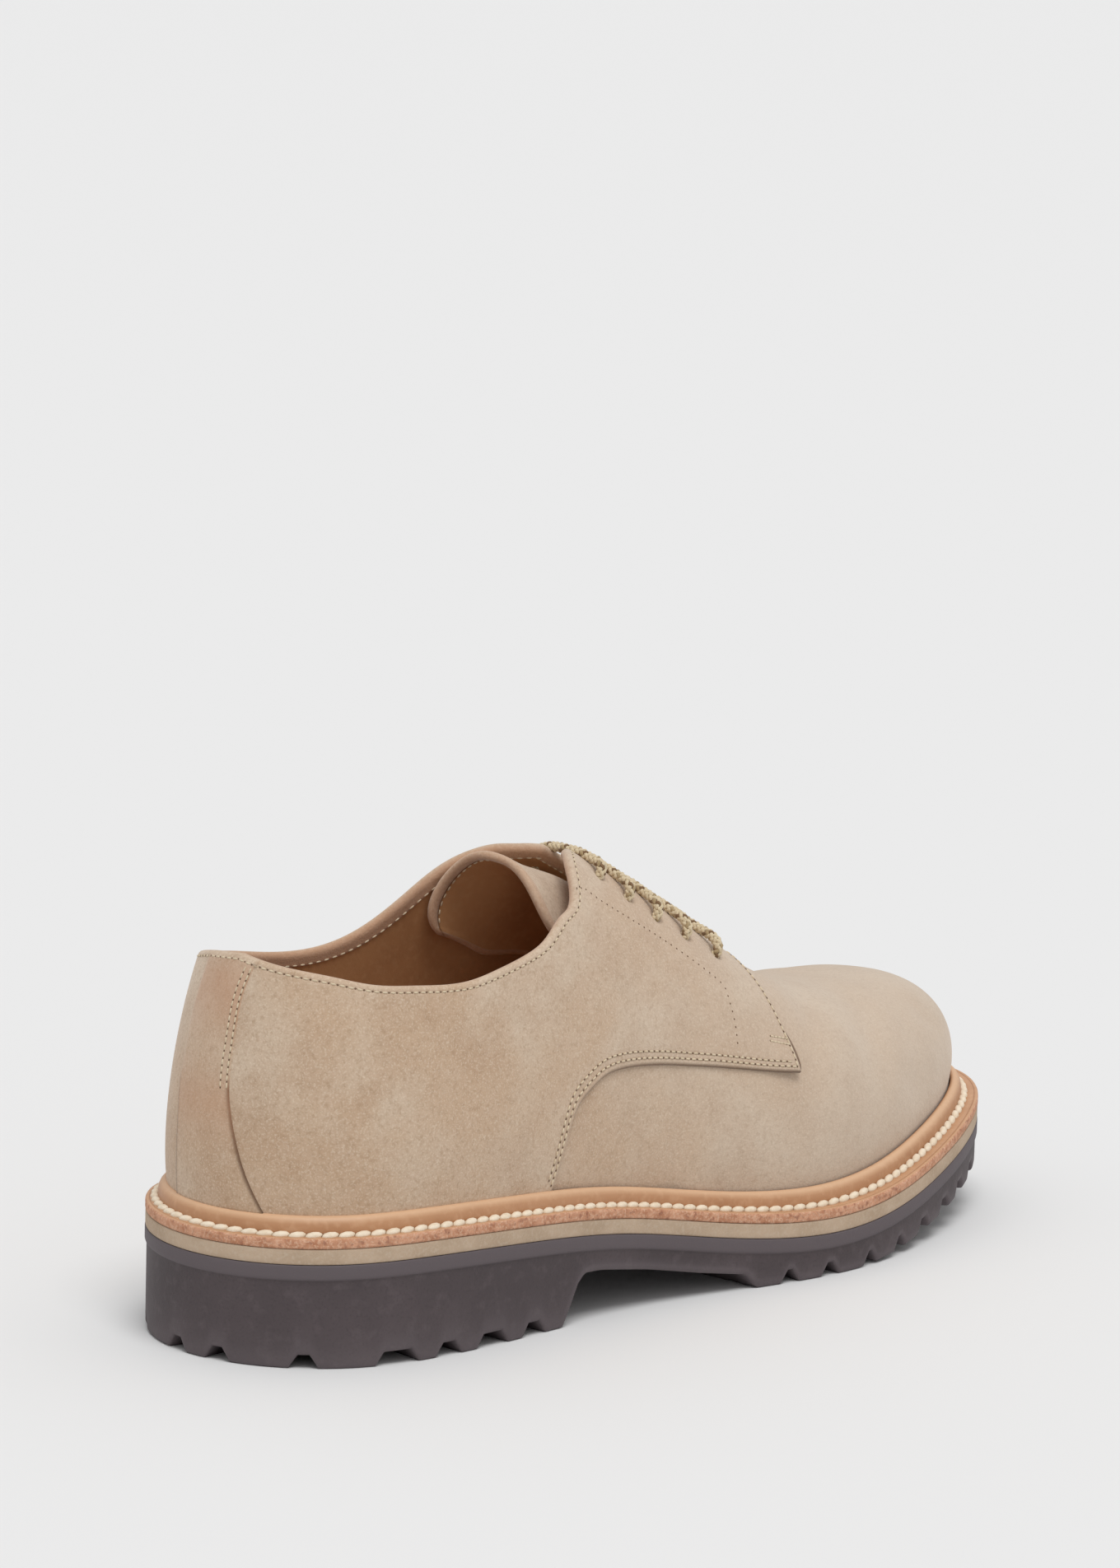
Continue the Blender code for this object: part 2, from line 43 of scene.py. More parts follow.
# Sizes and tables of the shoe's form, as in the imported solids
LENGTH = 302 * MM
BALL_WIDTH = 112 * MM
MIDSOLE = 3.8 * MM
FLANGE = 2.85 * MM
RIB = 4.55 * MM
WALL = 1.6 * MM
QUARTER_LIFT = 1.2 * MM
COUNTER_LIFT = 1.7 * MM
TONGUE = 2.4 * MM
INSOLE = 3.0 * MM
LACE = 3.0 * MM
GAP = 0.25 * MM
CLEAR = 0.35 * MM
BAND = 3.9 * MM
BAND_STEP = 0.5 * MM
EDGE_ROUND = 1.5 * MM
LUG = 3.6 * MM
LUG_REACH = 13 * MM
LUG_DRAFT = 1.6 * MM
FACING_GAP = 85.0
BULGE_HEIGHT = 20 * MM
HEEL_POLE = 46 * MM
TOE_POLE = LENGTH - 56 * MM
POLE_SOFT = 6 * MM

OUTLINE = (
    (0.000, 0.000, 0.000), (0.022, 0.208, 0.208), (0.075, 0.345, 0.345), (0.160, 0.407, 0.392),
    (0.290, 0.415, 0.345), (0.410, 0.417, 0.298), (0.520, 0.458, 0.335), (0.620, 0.506, 0.425),
    (0.715, 0.499, 0.480), (0.810, 0.433, 0.470), (0.900, 0.329, 0.400), (0.965, 0.201, 0.285),
    (1.000, -0.029, 0.029),
)
SOLE_LINE = (
    (-0.10, 27.5), (0.00, 27.7), (0.12, 27.9), (0.26, 25.9), (0.40, 21.3), (0.52, 14.9),
    (0.64, 12.0), (0.74, 14.4), (0.84, 19.3), (0.92, 23.2), (1.00, 26.2), (1.10, 29.5),
)
TREAD_LINE = (
    (0.000, 0.0), (0.309, 0.0), (0.318, 4.6), (0.328, 10.6), (0.338, 13.4), (0.360, 13.2),
    (0.420, 10.4), (0.480, 6.8), (0.533, 4.2), (0.545, 0.0), (0.665, 0.0), (0.700, 0.7),
    (0.740, 1.9), (0.840, 6.6), (0.920, 10.6), (1.000, 13.6), (1.100, 17.0),
)
RIDGE = (
    (0.00, 142.0), (0.12, 142.0), (0.25, 140.0), (0.35, 132.5), (0.44, 118.0), (0.50, 108.0), (0.57, 95.0),
    (0.64, 82.5), (0.70, 74.0), (0.76, 69.0), (0.82, 67.0), (0.88, 67.0), (0.95, 67.5), (1.05, 67.0),
)
SPINE = ((0.0, 0.0), (0.3, -1.0), (0.5, -3.5), (0.7, -2.0), (0.85, 2.0), (1.0, 5.0))
FEATHER = ((0.0, 7.0), (0.3, 6.8), (0.5, 8.2), (0.75, 8.7), (1.0, 8.4))
SECTIONS = (
    (0.00, 1.92, 0.012), (0.12, 1.97, 0.022), (0.28, 2.13, 0.033), (0.45, 2.10, 0.030),
    (0.60, 2.15, 0.035), (0.75, 2.40, 0.035), (0.90, 2.56, 0.038), (1.00, 2.62, 0.042),
)
TOPLINE = (
    (0.000, 40.8, 40.8), (0.060, 39.1, 39.4), (0.110, 37.5, 37.2), (0.160, 35.2, 35.0), (0.200, 34.0, 33.3),
    (0.255, 33.2, 31.5), (0.292, 34.8, 32.4), (0.330, 37.8, 37.4), (0.355, 41.6, 44.6), (0.380, 48.0, 55.1),
    (0.400, 55.0, 63.7), (0.415, 67.5, 70.3), (0.430, 77.5, 76.8), (0.442, FACING_GAP, FACING_GAP),
)
QUARTER_EDGE = (
    (0.3359, 0.0), (0.3487, 6.3), (0.3583, 10.5), (0.3735, 13.9), (0.3934, 17.1), (0.4171, 19.5),
    (0.4527, 21.9), (0.4952, 24.0), (0.5460, 26.4), (0.6020, 28.4),
)
CORNER = 0.602
QUARTER_FRONT = 0.606
THROAT = 0.592
HEEL_PIECE = (
    (0.00, 0.0540, 0.050), (0.16, 0.0356, 0.051), (0.32, 0.0223, 0.054), (0.44, 0.0150, 0.058),
    (0.65, 0.0136, 0.062), (0.83, 0.0150, 0.060), (1.00, 0.0260, 0.056),
)
NOTCHES = (
    (0.013, 0.029), (0.082, 0.098), (0.149, 0.180), (0.202, 0.221), (0.243, 0.270), (0.292, 0.312),
    (0.564, 0.576), (0.606, 0.619), (0.655, 0.666), (0.697, 0.709), (0.736, 0.752), (0.778, 0.796),
    (0.816, 0.834), (0.854, 0.872), (0.893, 0.911), (0.932, 0.950), (0.971, 0.987),
)
NOTCH_DRAFT = 0.0035
HEEL_LUGS_END = 0.334
FORE_LUGS_START = 0.540
TONGUE_LINE = (
    (0.364, 2.60, 1.85, 1.15, 46.0), (0.371, 2.55, 1.85, 1.12, 41.0), (0.385, 2.45, 1.85, 1.10, 38.0),
    (0.420, 1.95, 1.60, 1.15, 37.0), (0.450, 1.45, 1.35, 1.20, 41.0), (0.570, 1.20, 1.20, 1.20, 52.0),
    (0.620, 0.35, 0.35, 0.35, 58.0), (0.650, 0.00, 0.00, 0.00, 62.0),
)
TONGUE_TOP = (0.390, 0.384, 0.364)
LACE_ROWS = ((0.4517, 70.3), (0.4745, 66.0), (0.5000, 63.4), (0.5300, 62.6), (0.5632, 62.3))

# Sizes of what only the looks have
CONTOUR = 1.13 * LENGTH  # heel to toe along one side of the upper
GIRTH = 0.31 * LENGTH  # welt to ridge over the side
LINING_STEP = 0.3 * MM
EDGE_SOFT = 0.9 * MM  # rounding of a cut suede edge
TOP_ROW = 1.9 * MM  # stitches below the collar's edge
EDGE_ROWS = (1.5 * MM, 2.8 * MM)  # stitches inside the quarter's lower edge
SEAM_DENT = 0.14 * MM
SEAM_WIDTH = 0.42 * MM
# The darker line is the raw edge's own darker brown with a painted shadow line; round the eyelets it is
# painted shade
EDGE_SHADE = 0.45 * MM  # width of the darker line along the quarter's edge
EYELET_SHADE = 1.6 * MM
EYELET_PINCH = 0.9 * MM
PINCH_WIDTH = 2.0 * MM
CORNER_RISE = 1.4 * MM
CORNER_REACH = 9 * MM
FACING_ROW = (  # contour share, degrees
    (0.4040, 56.9), (0.4161, 58.2), (0.4319, 56.9), (0.4850, 54.7), (0.5379, 50.0), (0.5457, 45.5),
    (0.5431, 38.4), (0.5379, 30.2),
)
TACK_ROWS = (((0.5791, 37.2), (0.6000, 38.0)), ((0.5771, 35.7), (0.5985, 36.1)))
STRIP_ROWS = (0.7 * MM, 3.1 * MM)  # stitches inside the heel strip's edge
STRIP_SEWN = (0.46, 0.955)  # shares of its height between which they run
STRIP_HALF = 16  # mm by which the columns near its edges are scaled
STRIP_FOOT = 0.15 * MM  # how far its edge is let into the quarters
STRIP_STEP = 0.25 * MM  # how much farther in its fold reaches
TONGUE_BAND = 2.4 * MM
TONGUE_CORNER = 0.016  # contour share by which its top corners are rounded off
TONGUE_EASING = 14  # passes that smooth its columns
TONGUE_HALF = 34 * MM  # half its width at the top
TONGUE_RUN = 86  # mm by which the rows near its top are scaled
# Arch of the tongue's top edge: share across; degrees round the section from the outer side; lace thicknesses
# below the lining. It dies out down the tongue.
TONGUE_ARCH = (
    (-1.0, 44.7, 1.95), (-0.8, 51.1, 2.00), (-0.6, 57.7, 1.90), (-0.4, 66.2, 1.85), (-0.2, 76.1, 2.15),
    (0.0, 89.5, 2.55), (0.1, 104.0, 2.20), (0.2, 113.5, 1.55), (0.4, 123.7, 0.60), (0.6, 131.0, 0.17),
    (0.8, 136.5, 0.30), (1.0, 141.5, 0.85),
)
TONGUE_ARCH_END = 0.447  # contour share
LEAN_START = 0.585  # contour share from which the facings lean forward
FOOT_PULL = 7 * MM  # reach of the directions in which the quarter's columns leave its edge and its top
TOP_PULL = 5 * MM
TOP_PITCH = 2.4 * MM  # stitch lengths
EDGE_PITCH = 2.1 * MM
TACK_PITCH = 1.2 * MM
FACING_PITCH = 2.2 * MM
STRIP_PITCH = 1.9 * MM
LINING_PITCH = 2.6 * MM
TONGUE_PITCH = 2.4 * MM
LOCK_PITCH = 4.3 * MM
LINING_ROW = TOP_ROW + 1.75 * MM  # stitches below the collar's edge on the inside
LOCK_OUT = 4.35  # mm from the seam out to the lock stitches
LOCK_HEIGHT = 3.05 * MM
LOCK_TILT = 12  # degrees
BRAID_PITCH = 6.4 * MM
BRAID_RADIUS = 0.98 * MM
BRAID_WAVE = 0.20 * MM
BRAID_STEP = 0.42 * MM
STRAND_SIZE = (0.54 * MM, 0.36 * MM)  # half width and half thickness
CORE_SIZE = (0.8 * MM, 0.8 * MM)
STRAND_SIDES = 7
HOLE_LIFT = 0.02 * MM  # needle holes above the line of their stitches
# Soft folds: side (0 is both), contour share, degrees, heading in degrees; half length, half width and
# height in mm
CREASES = (
    (-1, 0.475, 8, 78, 20, 4.2, -0.75),
    (-1, 0.500, 9, 76, 20, 6.0, 0.50),
    (0, 0.655, 52, 62, 26, 7.0, -1.1),
    (0, 0.690, 50, 66, 24, 8.0, 0.7),
    (0, 0.735, 48, 70, 24, 8.0, -1.0),
    (0, 0.775, 55, 74, 20, 9.0, 0.6),
    (-1, 0.855, 40, 100, 13, 7.0, -0.9),
    (1, 0.830, 42, 96, 14, 8.0, -0.7),
    (-1, 0.780, 15, 100, 11, 8.0, -0.8),
    (-1, 0.420, 40, 60, 26, 9.0, 0.45),
    (-1, 0.380, 30, 52, 24, 8.0, -0.5),
    (1, 0.430, 34, 64, 24, 9.0, -0.5),
    (0, 0.110, 24, 84, 24, 12.0, 0.35),
    (-1, 0.250, 22, 10, 30, 10.0, -0.35),
)
# The folded edge: distances below it on the outside, the turn over the top, and distances below it, lift,
# darkness and warmth on the inside
NEAR_TOP = np.array([4.6, 3.8, 3.1, 2.6, 2.2, 1.9, 1.6, 1.2, 0.7, 0.3]) * MM
FOLD_TURNS = np.radians([0, 22, 45, 68, 90, 112, 135, 158, 180])
FOLD_DOWN = np.array([0.5, 1.1, 1.7, 2.3, 2.5, 2.6]) * MM
FOLD_LIFT = np.array([0, 0, 0, 0, 0.12, 0.28]) * MM
FOLD_DARK = (0, 0, 0, 0, 0.5, 1)
FOLD_WARM = np.clip((FOLD_TURNS - 0.9) / 1.2, 0, 1)
# Distances from the quarter's cut edge at which its surface has points
NEAR_EDGE = np.array([0, 0.08, 0.22, 0.45, 0.8, 1.2, 1.5, 1.7, 1.9, 2.25, 2.7, 2.95, 3.1, 3.3, 3.7, 4.5, 5.6])
NEAR_EDGE *= MM


def unit(vectors):
    """The same directions at length 1."""
    return vectors / np.linalg.norm(vectors, axis=-1, keepdims=True)


def travelled(line):
    """Distance along a line of points, at each of them."""
    return np.concatenate([[0], np.cumsum(np.linalg.norm(np.diff(line, axis=0), axis=1))])


def raised(plan, height):
    """Plan points with a height."""
    return np.concatenate([plan, height[..., None]], axis=-1)


def bell(distance, width):
    """Bell curve, 1 at no distance."""
    return np.exp(-(distance / width) ** 2)


def spline(knots, values, at):
    """Natural cubic spline through values at knots, read at the given places."""
    knots, values, at = (np.asarray(item, float) for item in (knots, values, at))
    count = len(knots)
    step = np.diff(knots)
    system = np.eye(count)
    right = np.zeros_like(values)
    for i in range(1, count - 1):
        system[i, i - 1:i + 2] = step[i - 1], 2 * (step[i - 1] + step[i]), step[i]
        slopes = (values[i + 1] - values[i]) / step[i], (values[i] - values[i - 1]) / step[i - 1]
        right[i] = 6 * (slopes[0] - slopes[1])
    bend = np.linalg.solve(system, right)
    k = np.clip(np.searchsorted(knots, at, side="right") - 1, 0, count - 2)
    a = (knots[k + 1] - at) / step[k]
    b = (at - knots[k]) / step[k]
    curve = (a**3 - a) * bend[k] + (b**3 - b) * bend[k + 1]
    return a * values[k] + b * values[k + 1] + curve * step[k] ** 2 / 6


def column(table, at, index=1):
    """Smooth value of one column of a table."""
    rows = np.asarray(table, float)
    return spline(rows[:, 0], rows[:, index], np.clip(at, rows[0, 0], rows[-1, 0]))


def outline(side, t):
    """Plan point on the sole's edge; side -1 is the outer one, t runs from heel 0 to toe 1."""
    rows = np.asarray(OUTLINE)
    middle = np.hypot(np.diff(rows[:, 0]) * LENGTH, np.diff(rows[:, 1:].mean(axis=1)) * BALL_WIDTH)
    knots = np.concatenate([[0], np.cumsum(middle)]) / middle.sum()
    near, far = (1, 2) if side < 0 else (2, 1)
    knots = np.concatenate([-knots[3:0:-1], knots, 2 - knots[-2:-5:-1]])
    x = np.concatenate([rows[3:0:-1, 0], rows[:, 0], rows[-2:-5:-1, 0]]) * LENGTH
    y = np.concatenate([-rows[3:0:-1, far], rows[:, near], -rows[-2:-5:-1, far]]) * BALL_WIDTH * side
    return np.stack([spline(knots, x, t), spline(knots, y, t)], axis=-1)


def outward(side, t):
    """Unit plan direction away from the sole's edge."""
    t = np.asarray(t, float)
    along = outline(side, t + 1e-4) - outline(side, t - 1e-4)
    away = np.stack([-along[..., 1], along[..., 0]], axis=-1) * side
    return unit(away)


def plan_centre():
    """Middle of the sole's plan at the floor, which is the object's origin."""
    t = np.linspace(0, 1, 201)
    return np.array([LENGTH / 2, (outline(-1, t)[:, 1].min() + outline(1, t)[:, 1].max()) / 2, 0])


CENTRE = plan_centre()


def inset(side, t, by):
    """Plan point this far in from the sole's edge."""
    return outline(side, t) - outward(side, t) * np.broadcast_to(by, np.shape(t))[..., None]


def sole_line(x):
    """Height of the outsole's top."""
    return column(SOLE_LINE, x / LENGTH) * MM


def tread_line(x):
    """Height of the outsole's underside, without its notches."""
    rows = np.asarray(TREAD_LINE)
    return np.interp(x / LENGTH, rows[:, 0], rows[:, 1]) * MM


def feather(side, t):
    """Plan point of the seam between upper and welt."""
    return inset(side, t, column(FEATHER, outline(side, t)[..., 0] / LENGTH) * MM)


def welt_base(x):
    """Height of the welt's underside."""
    return sole_line(x) + MIDSOLE + 2 * GAP


def seat(x):
    """Height of the rib's inner rim, where the upper comes into view."""
    return welt_base(x) + FLANGE + RIB


def spine(side, t):
    """Plan point under the ridge that a cross-section leans towards."""
    x = outline(side, t)[..., 0]
    rise = POLE_SOFT * np.logaddexp(0, (x - HEEL_POLE) / POLE_SOFT)
    fall = POLE_SOFT * np.logaddexp(0, (x - TOE_POLE) / POLE_SOFT)
    x = HEEL_POLE + rise - fall
    x = np.where(TOE_POLE - x < 0.9 * MM, TOE_POLE, x)
    return np.stack([x, column(SPINE, x / LENGTH) * MM], axis=-1)


def form(side, t, angle):
    """Point on the shoe's form: t along the contour, angle from the welt at 0 to the ridge at 90 degrees."""
    t, angle = np.broadcast_arrays(np.asarray(t, float), np.radians(angle))
    foot = feather(side, t)
    top = spine(side, t)
    power = 2 / column(SECTIONS, t)
    across = np.clip(np.cos(angle), 0, 1) ** power
    up = np.clip(np.sin(angle), 0, 1) ** power
    low = seat(foot[..., 0])
    height = (column(RIDGE, top[..., 0] / LENGTH) * MM - low) * up / BULGE_HEIGHT
    bulge = 1 + column(SECTIONS, t, 2) * height * np.exp(1 - height)
    plan = top + (foot - top) * (across * bulge)[..., None]
    ridge = column(RIDGE, plan[..., 0] / LENGTH) * MM
    return raised(plan, low + (ridge - low) * up)


def normal(side, t, angle):
    """Unit direction out of the form."""
    inner = np.clip(angle, 0.5, 89.0)
    along = form(side, t + 1e-3, inner) - form(side, t - 1e-3, inner)
    upward = form(side, t, inner + 0.4) - form(side, t, inner - 0.4)
    away = np.cross(upward, along) * side
    return unit(away)


def crease(side, t, angle):
    """How far the soft folds move the surface out at a point."""
    moved = np.zeros(np.broadcast(t, angle).shape)
    for which, share, degrees, heading, long, wide, height in CREASES:
        if which not in (0, side):
            continue
        u = (t - share) * CONTOUR / MM
        v = (angle - degrees) / 90 * GIRTH / MM
        turn = math.radians(heading)
        along = (u * math.cos(turn) + v * math.sin(turn)) / long
        across = (v * math.cos(turn) - u * math.sin(turn)) / wide
        moved = moved + height * MM * np.exp(-along**2 - across**2)
    return moved


def lifted(side, t, angle, lift):
    """Point on the form moved out along its normal."""
    t, angle = np.broadcast_arrays(np.asarray(t, float), np.asarray(angle, float))
    return form(side, t, angle) + normal(side, t, angle) * np.broadcast_to(lift, t.shape)[..., None]


def skin(side, t, angle, lift):
    """The same with the soft folds."""
    t, angle = np.broadcast_arrays(np.asarray(t, float), np.asarray(angle, float))
    return lifted(side, t, angle, lift + crease(side, t, angle))


def topline(side, t):
    """Degrees up the section where the upper ends: collar, then facing edge."""
    collar = column(TOPLINE, t, 1 if side < 0 else 2)
    return np.where(t < TOPLINE[-1][0], collar, FACING_GAP)


def eyelet(side, t, angle):
    """Centre of an eyelet on the form, and its unit axis outwards."""
    hole = lifted(side, t, angle, 0)
    axis = lifted(side, t, angle, MM) - hole
    return hole, unit(axis)


def notch(t):
    """1 inside a notch between edge lugs, 0 on a lug, with sloped ends."""
    deep = np.zeros_like(t)
    for start, end in NOTCHES:
        rows = (start - NOTCH_DRAFT, start + NOTCH_DRAFT, end - NOTCH_DRAFT, end + NOTCH_DRAFT)
        deep = np.maximum(deep, np.interp(t, rows, (0, 1, 1, 0)))
    return deep * deep * (3 - 2 * deep)


def beside(side, t, angle):
    """For a curve on the form: the unit direction at its left as seen from outside, heel to toe on the outer
    side, the form's normal there, and the change of share and degrees per metre that way."""
    along = np.gradient(form(side, t, angle), axis=0)
    if t[0] == 0:
        along[0] = (0, -side, 0)
    out = normal(side, t, angle)
    left = unit(np.cross(out, along))
    by_t = (form(side, t + 1e-4, angle) - form(side, t - 1e-4, angle)) / 2e-4
    safe = np.clip(angle, 0.2, 89.8)
    by_a = (form(side, t, safe + 0.1) - form(side, t, safe - 0.1)) / 0.2
    tt, ta, aa = (by_t * by_t).sum(-1), (by_t * by_a).sum(-1), (by_a * by_a).sum(-1)
    lt, la = (left * by_t).sum(-1), (left * by_a).sum(-1)
    scale = tt * aa - ta * ta
    return left, out, (lt * aa - la * ta) / scale, (la * tt - lt * ta) / scale


def upwards(side, t, angle):
    """The same, turned so that it points up the section."""
    left, out, dt, da = beside(side, t, angle)
    sign = np.sign(left[..., 2] + 1e-9)
    return left * sign[..., None], out, dt * sign, da * sign


def rounded(distance, soft):
    """Height share of a rounded edge at a distance from it."""
    share = np.clip(distance / soft, 0, 1)
    return np.sqrt(np.clip(1 - (1 - share) ** 2, 0, 1))


def flat(t, angle):
    """Share and degrees as metres over the side of the upper."""
    return np.stack(np.broadcast_arrays(np.asarray(t) * CONTOUR, np.asarray(angle) / 90 * GIRTH), axis=-1)


def corner_rise(t, angle):
    """How far the quarter's front corner curls up at a point."""
    away = np.linalg.norm(flat(t, angle) - flat(CORNER, QUARTER_EDGE[-1][1]), axis=-1)
    return CORNER_RISE * bell(away, CORNER_REACH)


def distance_to(points, line):
    """Shortest distance from each point to a line of points."""
    best = np.full(points.shape[:-1], 1e9)
    for a, b in zip(line[:-1], line[1:]):
        run = b - a
        share = np.clip(((points - a) @ run) / max(run @ run, 1e-12), 0, 1)
        best = np.minimum(best, np.linalg.norm(points - a - share[..., None] * run, axis=-1))
    return best


def linear(code):
    """Linear RGBA of an sRGB hex colour."""
    parts = [int(code[i:i + 2], 16) / 255 for i in (1, 3, 5)]
    return (*(c / 12.92 if c <= 0.04045 else ((c + 0.055) / 1.055) ** 2.4 for c in parts), 1.0)


def add(tree, kind, inputs=None, **settings):
    """Adds a node with its settings, and sets or links its inputs."""
    made = tree.nodes.new(kind)
    for key, value in settings.items():
        setattr(made, key, value)
    for key, value in (inputs or {}).items():
        if isinstance(value, bpy.types.NodeSocket):
            tree.links.new(value, made.inputs[key])
        else:
            made.inputs[key].default_value = value
    return made


def finish_of(name, colour, clouds, marks, relief, painted_sheen=None, **surface):
    """A material. Each cloud is noise that mixes in a colour: size in mm, detail, low and high noise, colour,
    amount. Each mark mixes in a colour by a named attribute. Each relief is bump: size in mm, detail, height
    in mm. The painted sheen mixes in a colour from one x to another, a paler tone painted where light falls."""
    made = bpy.data.materials.new(name)
    made.use_nodes = True
    tree = made.node_tree
    shader = tree.nodes["Principled BSDF"]
    for key, value in surface.items():
        shader.inputs[key.replace("_", " ").title().replace("Ior", "IOR")].default_value = value
    where = add(tree, "ShaderNodeTexCoord").outputs["Object"]
    layers = []
    for size, detail, low, high, code, amount in clouds:
        noise = add(tree, "ShaderNodeTexNoise", {"Vector": where, "Scale": 1 / (size * MM), "Detail": detail})
        share = add(tree, "ShaderNodeMapRange", {0: noise.outputs[0], 1: low, 2: high, 4: amount})
        layers.append((share, code))
    if painted_sheen:
        begin, end, code, amount = painted_sheen
        place = add(tree, "ShaderNodeSeparateXYZ", {0: where})
        share = add(tree, "ShaderNodeMapRange", {0: place.outputs[0], 1: begin * MM, 2: end * MM, 4: amount})
        layers.append((share, code))
    for attribute, code, amount in marks:
        mark = add(tree, "ShaderNodeAttribute", attribute_name=attribute)
        share = add(tree, "ShaderNodeMath", {0: mark.outputs["Fac"], 1: amount}, operation="MULTIPLY")
        layers.append((share, code))
    paint = linear(colour)
    for share, code in layers:
        mixed = add(tree, "ShaderNodeMix", {0: share.outputs[0], 6: paint, 7: linear(code)}, data_type="RGBA")
        paint = mixed.outputs[2]
    tree.links.new(paint, shader.inputs["Base Color"])
    facing = None
    for size, detail, height in relief:
        noise = add(tree, "ShaderNodeTexNoise", {"Vector": where, "Scale": 1 / (size * MM), "Detail": detail})
        inputs = {"Height": noise.outputs[0], "Distance": height * MM, "Strength": 1.0}
        if facing is not None:
            inputs["Normal"] = facing
        facing = add(tree, "ShaderNodeBump", inputs).outputs[0]
    tree.links.new(facing, shader.inputs["Normal"])
    return made


# Suede: soft mottling of sand, pinkish and grey tones, browner in patches, with a fine brushed nap, and
# paler and greyer towards the front, a painted sheen of the lit areas
SUEDE_CLOUDS = (
    (36, 3.0, 0.42, 0.60, "#D0BCA6", 0.75),
    (17, 3.0, 0.46, 0.68, "#B39377", 0.50),
    (6.0, 4.0, 0.44, 0.70, "#CBB199", 0.40),
    (1.3, 4.0, 0.48, 0.72, "#A08265", 0.42),
    (0.55, 2.0, 0.50, 0.70, "#E2D0BA", 0.45),
)
NAP = ((0.5, 4.0, 0.13), (2.4, 3.0, 0.15), (13, 2.0, 0.40))
# The edge mark gives raw edges their darker brown and adds painted shade along them, in seams and at eyelets
# The warm tone and shade mark is the folds' pinker tone, and painted shade on the heel strip
suede = finish_of(
    "sand_suede", "#C4A88D", SUEDE_CLOUDS, (("edge", "#5C4331", 0.9), ("warm_tone_and_shade", "#BE8F70", 0.65)), NAP,
    roughness=0.92, specular_ior_level=0.18, sheen_weight=0.40, sheen_roughness=0.45,
    sheen_tint=linear("#F2ECE4"), painted_sheen=(-60, 90, "#CDBFAF", 0.55),
)
# Lining: smooth vegetable-tanned leather, glossier and orange tan
lining = finish_of(
    "tan_lining", "#BE8D62", ((22, 3.0, 0.4, 0.65, "#A8764F", 0.6), (2.0, 4.0, 0.48, 0.7, "#C99B72", 0.35)),
    (("edge", "#5A3A26", 0.8),), ((0.9, 3.0, 0.05), (6, 2.0, 0.10)), roughness=0.52, specular_ior_level=0.4,
)
# Welt: natural vegetable-tanned leather, smooth and waxed, with a painted highlight on the rim's top and the
# rib's crown
welt_leather = finish_of(
    "natural_welt_leather", "#BD8B64",
    ((14, 3.0, 0.42, 0.66, "#B07D56", 0.6), (2.2, 4.0, 0.5, 0.7, "#CFA27D", 0.45)),
    (("light", "#E2BC98", 0.75), ("edge", "#8A5A3A", 0.7)), ((0.7, 3.0, 0.04), (5, 2.0, 0.08)),
    roughness=0.48, specular_ior_level=0.45,
)
# The welt's cut side: the same leather's raw fibres, rough, mottled and reddish
cut_leather = finish_of(
    "rough_cut_leather", "#D49F80",
    (
        (3.2, 4.0, 0.42, 0.62, "#B57C5D", 0.8), (0.7, 3.0, 0.48, 0.62, "#E2B99C", 0.7),
        (1.4, 4.0, 0.56, 0.66, "#96604A", 0.7),
    ),
    (("edge", "#7E4E36", 0.6),), ((0.6, 5.0, 0.30), (2.0, 3.0, 0.25)),
    roughness=0.85, specular_ior_level=0.25,
)
# Midsole: matt beige layer with darker patches, lighter specks and dark edges
layer_finish = finish_of(
    "beige_layer", "#C2AB93",
    ((11, 3.0, 0.42, 0.64, "#AC957D", 0.6), (0.9, 4.0, 0.48, 0.68, "#C9B7A2", 0.5)),
    (("edge", "#8D7965", 0.6),), ((0.5, 4.0, 0.10), (2.6, 3.0, 0.08)), roughness=0.8, specular_ior_level=0.25,
)
# Rubber: dull brown-black wall with grey scuffs towards the ground, and a smoother band above
rubber = finish_of(
    "brown_black_rubber", "#4B4244",
    (
        (26, 3.0, 0.42, 0.66, "#544A4C", 0.8), (3.5, 5.0, 0.54, 0.74, "#5F5557", 0.5),
        (0.8, 3.0, 0.5, 0.75, "#3E3638", 0.4),
    ),
    (("band", "#645B5E", 0.85), ("scuff", "#7F7578", 0.34)), ((0.6, 4.0, 0.06), (4.0, 3.0, 0.10)),
    roughness=0.62, specular_ior_level=0.35,
)
# Lock stitches: thick waxed cream thread, slightly mottled, with a low shine
thread = finish_of(
    "waxed_cream_thread", "#F0E2CC", ((1.6, 3.0, 0.4, 0.7, "#DDC8AA", 0.6),), (), ((0.25, 3.0, 0.06),),
    roughness=0.6, specular_ior_level=0.35,
)
# Fine stitches: dull thread a little lighter than the suede
sand_thread = finish_of(
    "sand_thread", "#DCCCB1", ((1.2, 3.0, 0.4, 0.7, "#C3AE90", 0.6),), (), ((0.2, 3.0, 0.04),),
    roughness=0.7, specular_ior_level=0.25,
)
# Needle holes: flat brown dots with next to no shine, painted shade of the holes
painted_hole_shade = finish_of(
    "needle_hole", "#7A6351", ((0.8, 2.0, 0.4, 0.7, "#644E3D", 0.8),), (), ((0.3, 2.0, 0.02),),
    roughness=1.0, specular_ior_level=0.05,
)
# Lace: cotton yarns with a soft fuzz, mostly cream with single olive and brown strands
yarns = [
    finish_of(
        name, code, ((0.5, 3.0, 0.4, 0.7, shade, 0.7),), (), ((0.22, 4.0, 0.08),),
        roughness=0.85, specular_ior_level=0.2, sheen_weight=0.25,
    )
    for name, code, shade in (
        ("cream_yarn", "#DCCBAC", "#C4AF8A"),
        ("olive_yarn", "#B09A76", "#937C59"),
        ("brown_yarn", "#86694B", "#6A5038"),
    )
]


